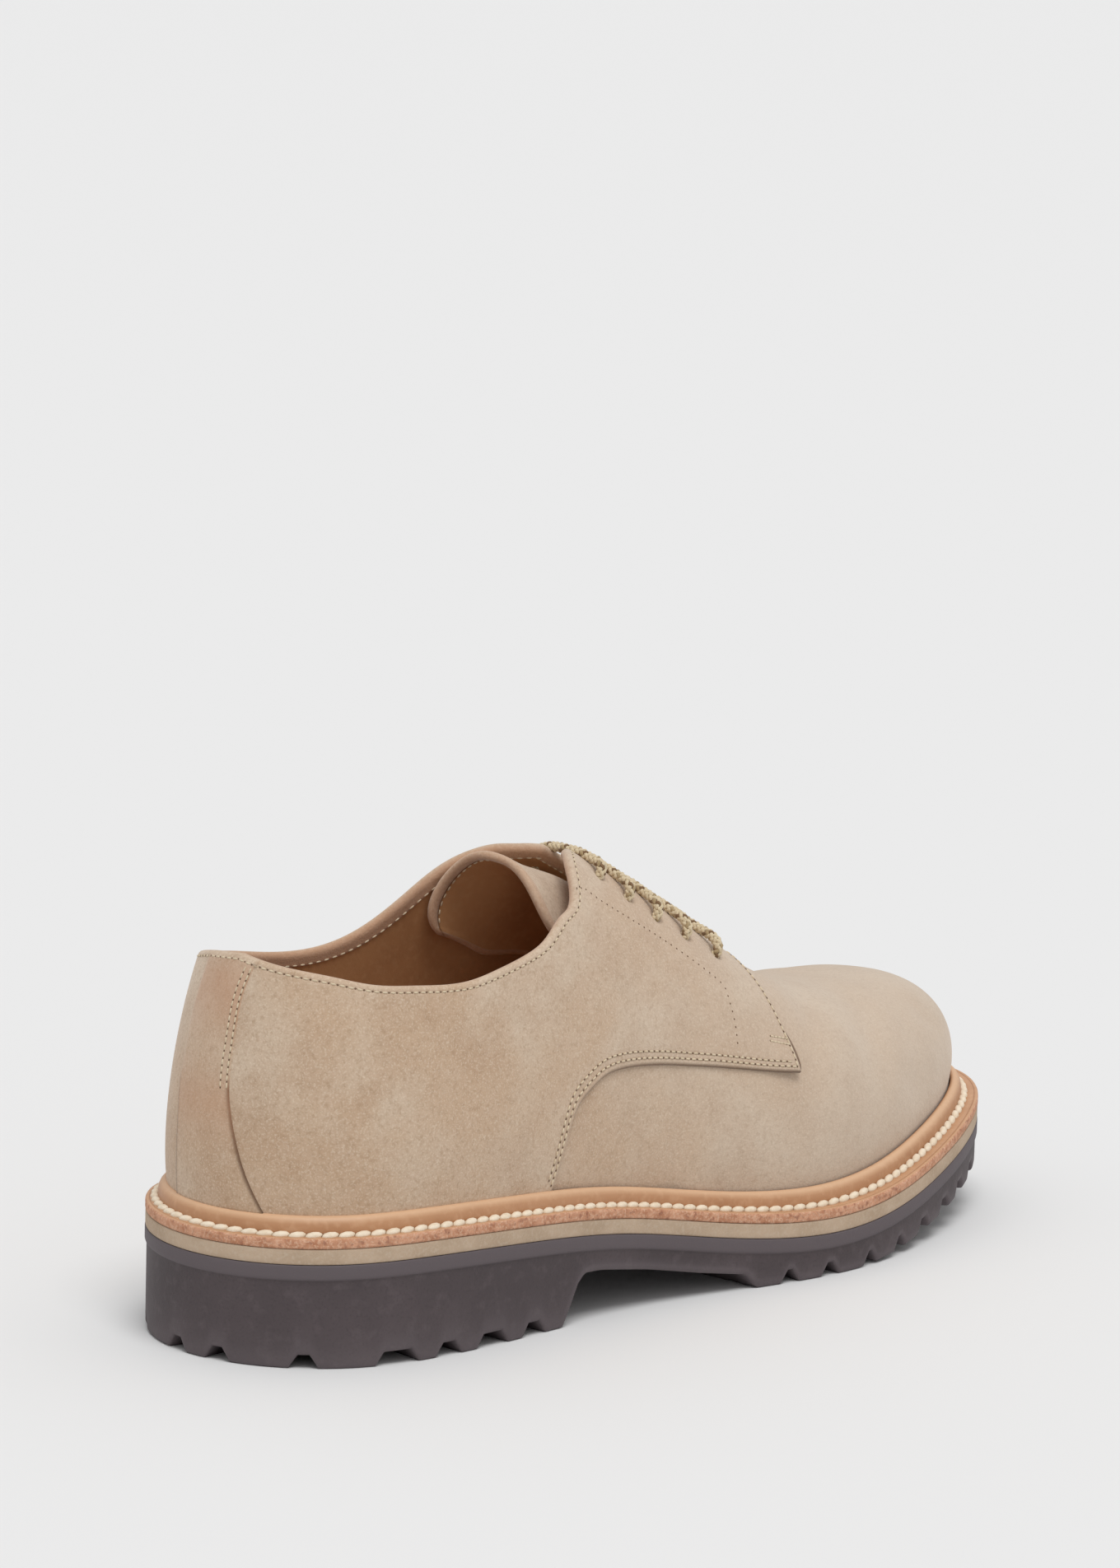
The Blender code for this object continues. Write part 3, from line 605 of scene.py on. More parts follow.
def shell(name, front, back, finishes, marks, top=None, ends=True, front_slot=None, back_slot=None):
    """Closed sheet between a front and a back grid of points, columns by rows. Marks hold values for both,
    top says at which columns the last row is joined, and the slots give each face's material."""
    columns, rows = front.shape[:2]
    total = columns * rows
    top = np.ones(columns - 1, bool) if top is None else top
    front_slot = np.zeros((columns - 1, rows - 1), int) if front_slot is None else front_slot
    back_slot = front_slot * 0 if back_slot is None else back_slot
    faces, slots = [], []

    def place(face, flip, slot):
        faces.append(face[::-1] if flip else face)
        slots.append(int(slot))

    for start, picked, flip in ((0, front_slot, False), (total, back_slot, True)):
        for i in range(columns - 1):
            for j in range(rows - 1):
                a = start + i * rows + j
                place((a, a + rows, a + rows + 1, a + 1), flip, picked[i, j])
    for i in range(columns - 1):
        for j, wanted, flip in ((0, True, True), (rows - 1, top[i], False)):
            if wanted:
                a, b = i * rows + j, (i + 1) * rows + j
                place((a, b, b + total, a + total), flip, front_slot[i, min(j, rows - 2)])
    if ends:
        for i, flip in ((0, False), (columns - 1, True)):
            for j in range(rows - 1):
                a, b = i * rows + j, i * rows + j + 1
                place((a, b, b + total, a + total), flip, front_slot[min(i, columns - 2), j])
    points = np.concatenate([front.reshape(-1, 3), back.reshape(-1, 3)]) - CENTRE
    values = {key: np.concatenate([np.ravel(value) for value in pair]) for key, pair in marks.items()}
    return piece(name, points, faces, finishes, slots, values)


def piece(name, points, faces, finishes, slots=None, marks=None):
    """A smooth mesh object from points and faces, closed up and turned to face out."""
    mesh = bpy.data.meshes.new(name)
    mesh.from_pydata(points.tolist(), [], faces)
    for key, values in (marks or {}).items():
        mesh.attributes.new(key, "FLOAT", "POINT").data.foreach_set("value", np.asarray(values, np.float32))
    if slots is not None:
        mesh.polygons.foreach_set("material_index", slots)
    bm = bmesh.new()
    bm.from_mesh(mesh)
    bmesh.ops.remove_doubles(bm, verts=bm.verts, dist=2e-6)
    bmesh.ops.dissolve_degenerate(bm, edges=bm.edges, dist=1e-6)
    bmesh.ops.recalc_face_normals(bm, faces=bm.faces)
    bm.to_mesh(mesh)
    bm.free()
    mesh.polygons.foreach_set("use_smooth", [True] * len(mesh.polygons))
    for finish in finishes:
        mesh.materials.append(finish)
    made = bpy.data.objects.new(name, mesh)
    bpy.context.scene.collection.objects.link(made)
    return made


def spread(stops, step):
    """Values through the stops, with about this much between neighbours."""
    found = [np.linspace(a, b, max(int(round((b - a) / step)), 1) + 1)[:-1] for a, b in zip(stops, stops[1:])]
    return np.concatenate(found + [[stops[-1]]])


def packed(start, *runs):
    """Contour shares from start on: each run ends at a share and has its own gap in mm."""
    found = [[start]]
    for end, gap in runs:
        found.append(spread([found[-1][-1], end], gap * MM / CONTOUR)[1:])
    return np.concatenate(found)


def round_heel(pair):
    """One row of values from the outer side's front round the heel to the inner side's front."""
    return np.concatenate([pair[0][::-1], pair[1][1:]])


def edge_line():
    """The quarter's lower and front edge over the side, from the welt to the facing."""
    low = np.array([row[0] for row in QUARTER_EDGE])
    share = np.concatenate([[low[0] - 0.012], spread([low[0], CORNER], 0.002), np.full(12, CORNER)])
    degrees = np.concatenate([[-9.0], column(QUARTER_EDGE, share[1:-12])])
    rise = np.linspace(0, 1, 13)[1:]
    degrees = np.concatenate([degrees, degrees[-1] + (FACING_GAP - degrees[-1]) * rise])
    share[-12:] += (QUARTER_FRONT - CORNER) * rise
    return share, degrees


def collar_curl(side, t, angle, over, under, turns):
    """Points round a folded edge that ends at the given line, their centres, and the change of share and
    degrees per metre upwards. over and under are the lifts of its two faces."""
    up, out, dt, da = upwards(side, t, angle)
    radius = (over - under) / 2
    lift = crease(side, t, angle) + (over + under) / 2
    middle = form(side, t, angle) + out * lift[:, None] - up * radius[:, None]
    points = [middle + (out * math.cos(turn) + up * math.sin(turn)) * radius[:, None] for turn in turns]
    return np.stack(points, axis=1), middle, dt, da


def make_quarters():
    """Both quarters in one sheet round the heel, folded over at the collar and facings."""
    low = QUARTER_EDGE[0][0]
    dense = [CORNER - d / CONTOUR for d in NEAR_EDGE[::-1]]
    # Columns are closest where the facing begins and at the front corner
    base = packed(0, (low - 0.03, 1.7), (0.39, 1.2), (0.455, 0.7), (dense[0], 1.5))
    base = np.concatenate([base[:-1], dense])
    foot = np.where(base > low, column(QUARTER_EDGE, base), 0.0)
    free = base >= low
    lean = np.clip((base - LEAN_START) / (CORNER - LEAN_START), 0, 1) ** 2 * (QUARTER_FRONT - CORNER)
    head_t = base + lean
    fade = np.clip((THROAT - 0.004 - base) / 0.006, 0, 1)
    under = -(WALL + LINING_STEP) * fade - 0.1 * MM * (1 - fade)
    radius = (QUARTER_LIFT - under) / 2
    line = flat(*edge_line())
    fronts, backs, edges, warms = [], [], [], []
    for side in (-1, 1):
        head_a = topline(side, head_t)
        # Ways up from the lower edge and into the collar, per metre
        changes = upwards(side, base[free], foot[free])[2:]
        dt0, da0 = (np.pad(change, (np.sum(~free), 0), "edge") for change in changes)
        blend = np.clip((base - (low - 0.06)) / 0.06, 0, 1) ** 2
        per_degree = np.linalg.norm(form(side, base, foot + 1) - form(side, base, foot + 0.01), axis=-1)
        dt0 = dt0 * blend
        da0 = da0 * blend + (1 - blend) / per_degree
        _, _, dt1, da1 = upwards(side, head_t, head_a)
        dt1[base == 0] = 0
        # Distances up each column
        samples = np.linspace(0, 1, 25)[:, None]
        path = form(side, base + (head_t - base) * samples, foot + (head_a - foot) * samples)
        reach = np.linalg.norm(np.diff(path, axis=0), axis=-1).sum(axis=0)
        high = reach - radius - NEAR_TOP[0]
        rows = [np.broadcast_to(d, base.shape) for d in NEAR_EDGE]
        rows += [NEAR_EDGE[-1] + (high - NEAR_EDGE[-1]) * share for share in np.linspace(0, 1, 84)[1:-1]]
        rows += [reach - radius - d for d in NEAR_TOP]
        up_by = np.stack(rows, axis=1)
        per = reach[:, None]
        down_by = per - up_by
        s = up_by / per
        low_pull = up_by * bell(up_by, FOOT_PULL)
        top_pull = -down_by * bell(down_by, TOP_PULL)
        grid = []
        for start, end, first, last in ((base, head_t, dt0, dt1), (foot, head_a, da0, da1)):
            start, across, first, last = (item[:, None] for item in (start, end - start, first, last))
            run = start + across * s + (first - across / per) * low_pull + (last - across / per) * top_pull
            run[:, :1] = start
            grid.append(np.maximum(run, 0))
        t = np.where(base[:, None] == 0, 0, grid[0])
        a = grid[1]
        away = distance_to(flat(t, a), line)
        lift = QUARTER_LIFT * rounded(away, EDGE_SOFT) - 0.1 * MM * (away < 1e-6)
        for gap in [away - row for row in EDGE_ROWS] + [(1 - s) * per - TOP_ROW]:
            lift = lift - SEAM_DENT * bell(gap, SEAM_WIDTH)
        rise = corner_rise(t, a)
        points = form(side, t, a)
        # The raw edge's darker brown plus a painted shadow line along it, and painted shade round each eyelet
        edge_tone_and_shade = bell(away, EDGE_SHADE)
        for share_here, degrees_here in LACE_ROWS:
            near = np.linalg.norm(points - form(side, share_here, degrees_here), axis=-1)
            lift = lift - EYELET_PINCH * bell(near, PINCH_WIDTH)
            edge_tone_and_shade = np.maximum(edge_tone_and_shade, 0.6 * np.exp(-(near / EYELET_SHADE) ** 4))
        lift += rise
        front = skin(side, t, a, lift)
        back = skin(side, t, a, np.minimum(rise - 0.12 * MM, lift - 0.05 * MM))
        curl, middle, dt, da = collar_curl(side, head_t, head_a, QUARTER_LIFT, under, FOLD_TURNS)
        hidden = middle[:, None] + (curl - middle[:, None]) * 0.3
        down = radius[:, None] + FOLD_DOWN
        fold_t = head_t[:, None] - dt[:, None] * down
        fold_a = head_a[:, None] - da[:, None] * down
        fold = skin(side, fold_t, fold_a, under[:, None] + FOLD_LIFT)
        fold_back = skin(side, fold_t, fold_a, under[:, None] * 0.6)
        fold_back[:, -1] = fold[:, -1]
        fronts.append(np.concatenate([front, curl, fold], axis=1))
        backs.append(np.concatenate([back, hidden, fold_back], axis=1))
        plain, whole = np.zeros(curl.shape[:2]), np.ones(fold.shape[:2])
        edges.append(np.concatenate([edge_tone_and_shade, plain, whole * FOLD_DARK], axis=1))
        warms.append(np.concatenate([edge_tone_and_shade * 0, plain + FOLD_WARM, whole], axis=1))
    front, back, edge, warm_tone_and_shade = (round_heel(item) for item in (fronts, backs, edges, warms))
    return shell("quarters", front, back, [suede], {"edge": (edge, edge * 0), "warm_tone_and_shade": (warm_tone_and_shade, warm_tone_and_shade * 0)})


def make_vamp():
    """The closed wall of the upper: suede outside and lining inside."""
    behind = packed(0, (0.33, 2.6), (0.44, 1.5), (THROAT, 2.0))
    shares = np.concatenate([behind, packed(THROAT + 0.004, (1, 1.6))])
    steps = np.concatenate([[0, 0.012, 0.03], np.linspace(0, 1, 62)[3:]])
    fronts, backs = [], []
    for side in (-1, 1):
        head = topline(side, shares)
        _, _, dt, da = upwards(side, shares, head)
        open_here = shares < THROAT + 1e-6
        end_t = np.where(open_here, shares - dt * 1.6 * MM, shares)
        end_a = np.where(open_here, head - da * 1.6 * MM, 90.0)
        end_t = np.where(shares == 0, 0, np.maximum(end_t, 0))
        t = shares[:, None] + (end_t - shares)[:, None] * steps**2
        a = end_a[:, None] * steps
        outer = skin(side, t, a, 0)
        inner = skin(side, t, a, -WALL)
        low = feather(side, shares)
        below = raised(low, welt_base(low[:, 0]) + CLEAR - GAP)
        under = below.copy()
        under[:, :2] -= outward(side, shares) * WALL
        fronts.append(np.concatenate([below[:, None], outer], axis=1))
        backs.append(np.concatenate([under[:, None], inner], axis=1))
    front, back, both = (round_heel(item) for item in (fronts, backs, (shares, shares)))
    top = np.minimum(both[:-1], both[1:]) < THROAT + 1e-6
    slots = np.zeros((front.shape[0] - 1, front.shape[1] - 1), int)
    nothing = np.zeros(front.shape[:2])
    marks = {"edge": (nothing, nothing), "warm_tone_and_shade": (nothing, nothing)}
    return shell(
        "vamp_and_lining", front, back, [suede, lining], marks,
        top=top, ends=False, front_slot=slots, back_slot=slots + 1,
    )


def make_heel_strip():
    """Strip of suede over the back seam, folded over at the collar like the quarters."""
    rows = np.asarray(HEEL_PIECE)
    near = np.array([0, 0.1, 0.3, 0.6, 1.0, 1.5, 2.1, 2.8, 3.6]) / STRIP_HALF
    half = np.concatenate([near, np.linspace(0.28, 1, 11)])
    over, under = COUNTER_LIFT, -(WALL + LINING_STEP + STRIP_STEP)
    radius = (over - under) / 2
    low_lift = QUARTER_LIFT - STRIP_FOOT
    steps = np.linspace(0, 1, 60)
    fronts, backs, edges, warms = [], [], [], []
    for share in np.concatenate([-1 + half, (1 - half)[::-1][1:]]):
        side = -1 if share < 0 else 1
        edge_t = spline(rows[:, 0], rows[:, 1 if share < 0 else 2], steps)
        t = edge_t * abs(share)
        a = topline(side, t) * steps
        length = travelled(form(side, t, a))[-1]
        end = 1 - (radius + 5 * MM) / length
        rises = np.concatenate([np.linspace(0, end, 60), 1 - (radius + NEAR_TOP) / length])
        t, a, width = (np.interp(rises, steps, item) for item in (t, a, edge_t))
        away = (1 - abs(share)) * width * CONTOUR
        above = np.clip((rises - STRIP_SEWN[0]) / 0.06, 0, 1)
        lift = low_lift + (COUNTER_LIFT - low_lift) * rounded(away, (0.5 + 2.4 * above) * MM)
        front = skin(side, t, a, lift)
        back = skin(side, t, a, 0.3 * MM)
        head_t = np.array([edge_t[-1] * abs(share)])
        head_a = topline(side, head_t)
        out = normal(side, head_t, head_a)[0]
        head = form(side, head_t, head_a)[0]
        rise = head - form(side, head_t, head_a - 1)[0]
        up = unit(rise)
        middle = head + out * ((over + under) / 2 + crease(side, head_t, head_a)[0]) - up * radius
        turns = FOLD_TURNS[:, None]
        curl = middle + (out * np.cos(turns) + up * np.sin(turns)) * radius
        fold_a = head_a - (radius + FOLD_DOWN) / np.linalg.norm(rise)
        fold = skin(side, head_t, fold_a, under + FOLD_LIFT)
        fold_back = skin(side, head_t, fold_a, under * 0.5)
        fronts.append(np.concatenate([front, curl, fold]))
        backs.append(np.concatenate([back, middle + (curl - middle) * 0.3, fold_back]))
        # Painted shade of the seam's groove along the strip's edge, below its stitches
        seam = bell(away, 0.85 * MM) * (1 - above)
        edges.append(np.concatenate([seam, np.zeros(len(curl) + len(fold))]))
        # Painted shade: browner patches on the strip's middle and top, where the heel's back turns from the
        # light
        painted_heel_shade = bell(rises - 0.40, 0.13) * 0.6 + bell(rises - 0.84, 0.17) * 0.8
        warms.append(np.concatenate([painted_heel_shade, FOLD_WARM, np.ones(len(fold))]))
    front, back, edge, warm_tone_and_shade = (np.array(item) for item in (fronts, backs, edges, warms))
    return shell("heel_strip", front, back, [suede], {"edge": (edge, edge * 0), "warm_tone_and_shade": (warm_tone_and_shade, warm_tone_and_shade * 0)})


def tongue_surface(across, start, step):
    """Side, share, degrees and depth of the tongue's outer face: across from -1, outer, to 1; step from its
    top to its root."""
    rows = np.asarray(TONGUE_LINE)
    t = start + (rows[-1, 0] - start) * step
    side = -1 if across < 0 else 1
    crest, flank, end = (np.interp(t, rows[:, 0], rows[:, i]) for i in (1, 2 if side < 0 else 3, 4))
    reach = abs(across)
    turn = 90 + side * (90 - end) * max(reach, 0.01) ** 0.9
    below = crest + (flank - crest) * reach**1.5
    arch = np.clip((TONGUE_ARCH_END - t) / (TONGUE_ARCH_END - start), 0, 1)
    arch *= arch * (3 - 2 * arch)
    turn = turn + (column(TONGUE_ARCH, across) - turn) * arch
    below = below + (column(TONGUE_ARCH, across, 2) - below) * arch
    return side, t, 90 - np.abs(turn - 90), WALL + CLEAR + LACE * below


def eased(rows, passes):
    """Rows of points with small kinks from column to column smoothed out; the ends stay."""
    for _ in range(passes):
        rows = np.concatenate([rows[:1], (rows[:-2] + 2 * rows[1:-1] + rows[2:]) / 4, rows[-1:]])
    return rows


def make_tongue():
    """Tongue with its folded edge, lined underneath, and the line of the stitches inside its fold."""
    near = np.array([0, 0.005, 0.014, 0.03, 0.05, 0.075, 0.10])
    across = np.concatenate([-1 + near, np.linspace(-0.86, 0.86, 41), 1 - near[::-1]])
    corner = np.clip((np.abs(across) - 0.72) / 0.28, 0, 1)
    start = np.interp(across, (-1, 0, 1), TONGUE_TOP) + TONGUE_CORNER * (1 - np.sqrt(1 - corner**2))
    near_top = np.array([0, 0.12, 0.4, 0.8, 1.3, 1.8, 2.3, 2.6, 2.8, 3.2, 4, 5]) / TONGUE_RUN
    step = np.concatenate([near_top, np.linspace(0.075, 1, 70)])
    mids, outs = [], []
    for share, begin in zip(across, start):
        side, t, angle, depth = tongue_surface(share, begin, step)
        mids.append(lifted(side, t, angle, -depth - TONGUE / 2))
        outs.append(normal(side, t, angle))
    mids, outs = (eased(np.array(item), TONGUE_EASING) for item in (mids, outs))
    outs = unit(outs)
    fronts, backs, marks, picks, sewn = [], [], [], [], []
    for share, begin, mid, out in zip(across, start, mids, outs):
        from_top = step * (TONGUE_LINE[-1][0] - begin) * CONTOUR
        from_side = (1 - abs(share)) * TONGUE_HALF
        away = np.minimum(from_top, from_side)
        half = TONGUE / 2 * rounded(away, TONGUE / 2)
        band = np.clip((TONGUE_BAND - from_top) / (0.25 * MM), 0, 1)
        band = np.maximum(band, np.clip((TONGUE_BAND * 0.6 - from_side) / (0.25 * MM), 0, 1))
        under = half - 0.35 * MM * (1 - band) * (away > TONGUE / 2)
        fronts.append(mid + out * half[:, None])
        backs.append(mid - out * under[:, None])
        marks.append(bell(from_top - TONGUE_BAND - 0.15 * MM, 0.25 * MM))
        sewn.append([np.interp(TONGUE_BAND + 0.55 * MM, from_top, backs[-1][:, i]) for i in range(3)])
        picks.append(np.where(away < TONGUE_BAND * (1 if from_side > TONGUE_BAND else 0.6), 0, 1))
    front, back, mark, pick = (np.array(item) for item in (fronts, backs, marks, picks))
    slots = pick[:-1, :-1]
    warm_tone_and_shade = np.where(pick == 0, 1.0, 0.0)
    marks = {"edge": (mark * 0, mark), "warm_tone_and_shade": (warm_tone_and_shade * 0.55, warm_tone_and_shade * 0.85)}
    made = shell("tongue_skin", front, back, [suede, lining], marks, front_slot=slots * 0, back_slot=slots)
    inside = slice(5, -5)
    return made, (np.array(sewn)[inside], -outs[inside, 8])


def loops_of(shares, profile):
    """Closed loops of points round the shoe, from heel to toe on the outer side and back on the inner side.
    Each row of the profile is an inset, as a size or a function, and a height as a function."""
    loops = []
    for by, height in profile:
        halves = []
        for side, t in ((-1, shares), (1, shares[-2:0:-1])):
            plan = inset(side, t, by(side, t) if callable(by) else by)
            halves.append(raised(plan, height(plan[..., 0], t)))
        loops.append(np.concatenate(halves))
    return loops


def loop_faces(rows, total, close=False):
    """Faces between loops of points, and from the last to the first where it closes."""
    faces = []
    for i in range(rows if close else rows - 1):
        for j in range(total):
            k, below = (j + 1) % total, (i + 1) % rows
            faces.append((i * total + j, i * total + k, below * total + k, below * total + j))
    return faces


def ladder(start, count):
    """Faces across a closed loop from its outer side to its inner side."""
    total = 2 * count - 2
    faces = []
    for i in range(count - 1):
        face = (start + i, start + i + 1, start + (total - i - 1) % total, start + (total - i) % total)
        faces.append(tuple(dict.fromkeys(face)))
    return faces


def swept(name, shares, profile, finishes, marks, slots=None):
    """A band round the shoe, with marks for each row of its profile. With slots, which give the material from
    each row to the next, it closes on itself; without, it is closed above and below."""
    loops = loops_of(shares, profile)
    total = len(loops[0])
    faces = loop_faces(len(loops), total, close=slots is not None)
    if slots is None:
        faces += ladder(0, len(shares)) + ladder((len(loops) - 1) * total, len(shares))
    else:
        slots = np.repeat(slots, total).tolist()
    values = {key: np.repeat(row, total) for key, row in marks.items()}
    return piece(name, np.concatenate(loops) - CENTRE, faces, finishes, slots, values)


def make_midsole():
    """Flat layer between welt and outsole, with slightly rounded edges."""
    low, top = 0.05 * MM, MIDSOLE + 2 * GAP - 0.05 * MM
    rows = (  # mm in from the outline, height, dark
        (0.5, low, 0.8), (0.18, low + 0.12 * MM, 0.5), (0.1, low + 0.45 * MM, 0.1), (0.1, low + 1.4 * MM, 0),
        (0.1, top - 1.4 * MM, 0), (0.1, top - 0.45 * MM, 0.1), (0.2, top - 0.12 * MM, 0.3), (0.6, top, 0.6),
    )
    profile = [(by * MM, lambda x, t, up=up: sole_line(x) + up) for by, up, _ in rows]
    marks = {"edge": [row[2] for row in rows]}
    return swept("midsole_skin", packed(0, (1, 2.2)), profile, [layer_finish], marks)


def make_welt():
    """Flat rim with its groove and edge line, and the upright rounded rib against the upper."""
    rows = (  # mm in from the outline, or out from the seam where negative; mm up; slot; light; edge
        (0.30, 0.0, 1, 0, 0.6), (0.08, 0.2, 1, 0, 0.2), (0.0, 0.7, 1, 0, 0), (0.06, 1.3, 1, 0, 0.1),
        (0.0, 1.9, 1, 0, 0), (0.05, 2.4, 1, 0, 0), (0.22, 2.72, 0, 0.3, 0), (0.55, 2.85, 0, 0.5, 0),
        (1.0, 2.84, 0, 0.2, 0), (1.15, 2.72, 0, 0, 0.9), (1.3, 2.84, 0, 0.2, 0), (2.2, 2.82, 0, 0.3, 0),
        (-4.3, 2.66, 0, 0, 0.3), (-3.75, 2.4, 0, 0, 1), (-3.62, 2.9, 0, 0, 0.8), (-3.56, 3.8, 0, 0, 0.1),
        (-3.5, 4.8, 0, 0, 0), (-3.36, 5.8, 0, 0.1, 0), (-3.0, 6.65, 0, 0.5, 0), (-2.5, 7.2, 0, 0.9, 0),
        (-1.9, 7.55, 0, 1, 0), (-1.3, 7.68, 0, 0.9, 0), (-0.8, 7.62, 0, 0.4, 0.2), (-0.38, 7.3, 0, 0, 1),
        (-0.35, 5.0, 0, 0, 1), (-0.35, 0.0, 1, 0, 1),
    )
    profile = []
    for by, up, *_ in rows:
        inward = by * MM
        if by < 0:
            def inward(side, t, by=by):
                return (column(FEATHER, outline(side, t)[..., 0] / LENGTH) + by) * MM
        profile.append((inward, lambda x, t, up=up: welt_base(x) + up * MM * (FLANGE + RIB) / (7.4 * MM)))
    # edge darkens the cut edge, the groove and the cut side's foot, and is painted shade at the rib's foot
    # and against the upper
    # light is a painted highlight on the flat rim's top and the rib's crown
    marks = {"light": [row[3] for row in rows], "edge": [row[4] for row in rows]}
    slots = [row[2] for row in rows]
    return swept("welt_skin", packed(0, (1, 1.8)), profile, [welt_leather, cut_leather], marks, slots)


def make_outsole():
    """Outsole with its smooth band, edge lugs, sloped breast and tread bars."""
    stops = {0.0, 0.3375, 1.0}
    for start, end in NOTCHES:
        stops |= {start - NOTCH_DRAFT, start + NOTCH_DRAFT, end - NOTCH_DRAFT, end + NOTCH_DRAFT}
    shares = spread(sorted(stops), 1.1 * MM / CONTOUR)
    lugged = (shares < HEEL_LUGS_END) | (shares > FORE_LUGS_START)
    relief = np.where(lugged, LUG, 0)
    cut = notch(shares) * relief

    def low(x, t):
        return tread_line(x) + np.interp(t, shares, cut)

    def deep(x, t):
        return tread_line(x) + np.interp(t, shares, relief)

    def below_band(down):
        return lambda x, t: sole_line(x) - down

    def down_wall(share):
        return lambda x, t: (sole_line(x) - BAND - BAND_STEP) * (1 - share) + (low(x, t) + EDGE_ROUND) * share

    def round_edge(down):
        return lambda x, t: low(x, t) + EDGE_ROUND * (1 - down)

    profile = [(0.4 * MM, below_band(0)), (0.1 * MM, below_band(0.12 * MM))]
    profile += [(0.0, below_band(down * MM)) for down in (0.45, 1.6, 2.8, 3.5)]
    profile += [(0.12 * MM, below_band(BAND)), (BAND_STEP * 0.9, below_band(BAND + 0.25 * MM))]
    profile += [(BAND_STEP, below_band(BAND + BAND_STEP))]
    profile += [(BAND_STEP, down_wall(share)) for share in (0.2, 0.4, 0.6, 0.8, 0.92)]
    for turn in np.radians((0, 30, 60, 90)):
        profile.append((BAND_STEP + EDGE_ROUND * (1 - math.cos(turn)) * 0.6, round_edge(math.sin(turn))))
    profile += [(BAND_STEP + EDGE_ROUND + LUG, low), (LUG_REACH, low), (LUG_REACH + LUG_DRAFT, deep)]
    band = [1] * 7 + [0.4] + [0] * 13
    scuff = [0] * 11 + [0.1, 0.3, 0.6, 0.8, 1, 1, 1, 0.3, 0.3, 0.3]
    loops = loops_of(shares, profile)
    total, count = len(loops[0]), len(shares)
    faces = loop_faces(len(loops), total) + ladder(0, count)
    points = np.concatenate(loops)
    # The tread between the two sides, with a bar across at each lug
    last = (len(loops) - 1) * total
    outer = points[last:last + count]
    inner = np.concatenate([points[last:last + 1], points[last + count - 1:last + total][::-1]])
    bar = np.where(np.linalg.norm(inner - outer, axis=1) > LUG_REACH, relief - cut, 0)
    strip = [outer]
    for across, lug in (
        (0.10, 0), (0.16, 1), (0.30, 1), (0.44, 1), (0.48, 0),
        (0.52, 0), (0.56, 1), (0.70, 1), (0.84, 1), (0.90, 0),
    ):
        row = outer + (inner - outer) * across
        row[:, 2] -= lug * bar
        strip.append(row)
    strip.append(inner)
    for i in range(len(strip) - 1):
        for j in range(count - 1):
            a = len(points) + i * count + j
            faces.append((a, a + 1, a + count + 1, a + count))
    marks = {}
    for key, row in (("band", band), ("scuff", scuff)):
        marks[key] = np.concatenate([np.repeat(row, total), np.zeros(len(strip) * count)])
    return piece("outsole_skin", np.concatenate([points] + strip) - CENTRE, faces, [rubber], None, marks)


def make_sock():
    """Thin leather lining on the insole, dished a little along its middle."""
    shares = np.concatenate([[0, 0.004, 0.012], packed(0.02, (0.98, 4)), [0.988, 0.996, 1]])
    edge_in = 0.5 * MM + WALL
    across = np.linspace(0, 1, 31)[:, None]
    left = feather(-1, shares) - outward(-1, shares) * edge_in
    right = feather(1, shares) - outward(1, shares) * edge_in
    plan = left[:, None] + (right - left)[:, None] * across
    x = plan[..., 0]
    wide = np.linalg.norm(right - left, axis=1)[:, None]
    away = np.minimum(across[:, 0], 1 - across[:, 0]) * wide
    dish = 0.8 * MM * (1 - rounded(away, 14 * MM))
    high = welt_base(x) + INSOLE - 0.8 * MM + dish - 0.5 * MM * (1 - rounded(away, 0.8 * MM))
    # Painted shade in the corner against the upper: darker within about 2 mm of the sock's edge
    edge = bell(away, 2 * MM)
    front, back = raised(plan, high), raised(plan, welt_base(x))
    return shell("sock_lining", front, back, [lining], {"edge": (edge, edge)})


def lace_path():
    """Centre line of the lace: five bars across the facings, joined by hidden runs beneath them."""
    over, under = QUARTER_LIFT + LACE / 2 + CLEAR, WALL + LACE / 2 + CLEAR
    path = []
    for row, (t, angle) in enumerate(LACE_ROWS):
        first = -1 if row % 2 == 0 else 1
        for side in (first, -first):
            entering = side == first
            hole, axis = eyelet(side, t, angle)
            cross = lifted(side, t, angle + 3, 0) - hole
            cross = unit(cross - axis * (cross @ axis))
            next_row = row - 1 if entering else row + 1
            part = []
            if 0 <= next_row < len(LACE_ROWS):
                run = unit(eyelet(side, *LACE_ROWS[next_row])[0] - hole)
                part.append(hole + run * LACE * 1.15 - axis * under)
                part.append(hole + run * LACE * 0.45 - axis * (under - LACE * 0.05))
            part.append(hole - axis * (under - LACE * 0.4))
            part.append(hole + axis * LACE * 0.15)
            part.append(hole + cross * LACE * 0.15 + axis * (over - LACE * 0.33))
            part.append(hole + cross * LACE * 0.55 + axis * over)
            for share, sag in ((0.35, 0.4), (0.62, 1.0), (0.88, 1.5)):
                part.append(lifted(side, t, angle + (89 - angle) * share, over - sag * MM))
            path += part if entering else part[::-1]
    return np.array(path)


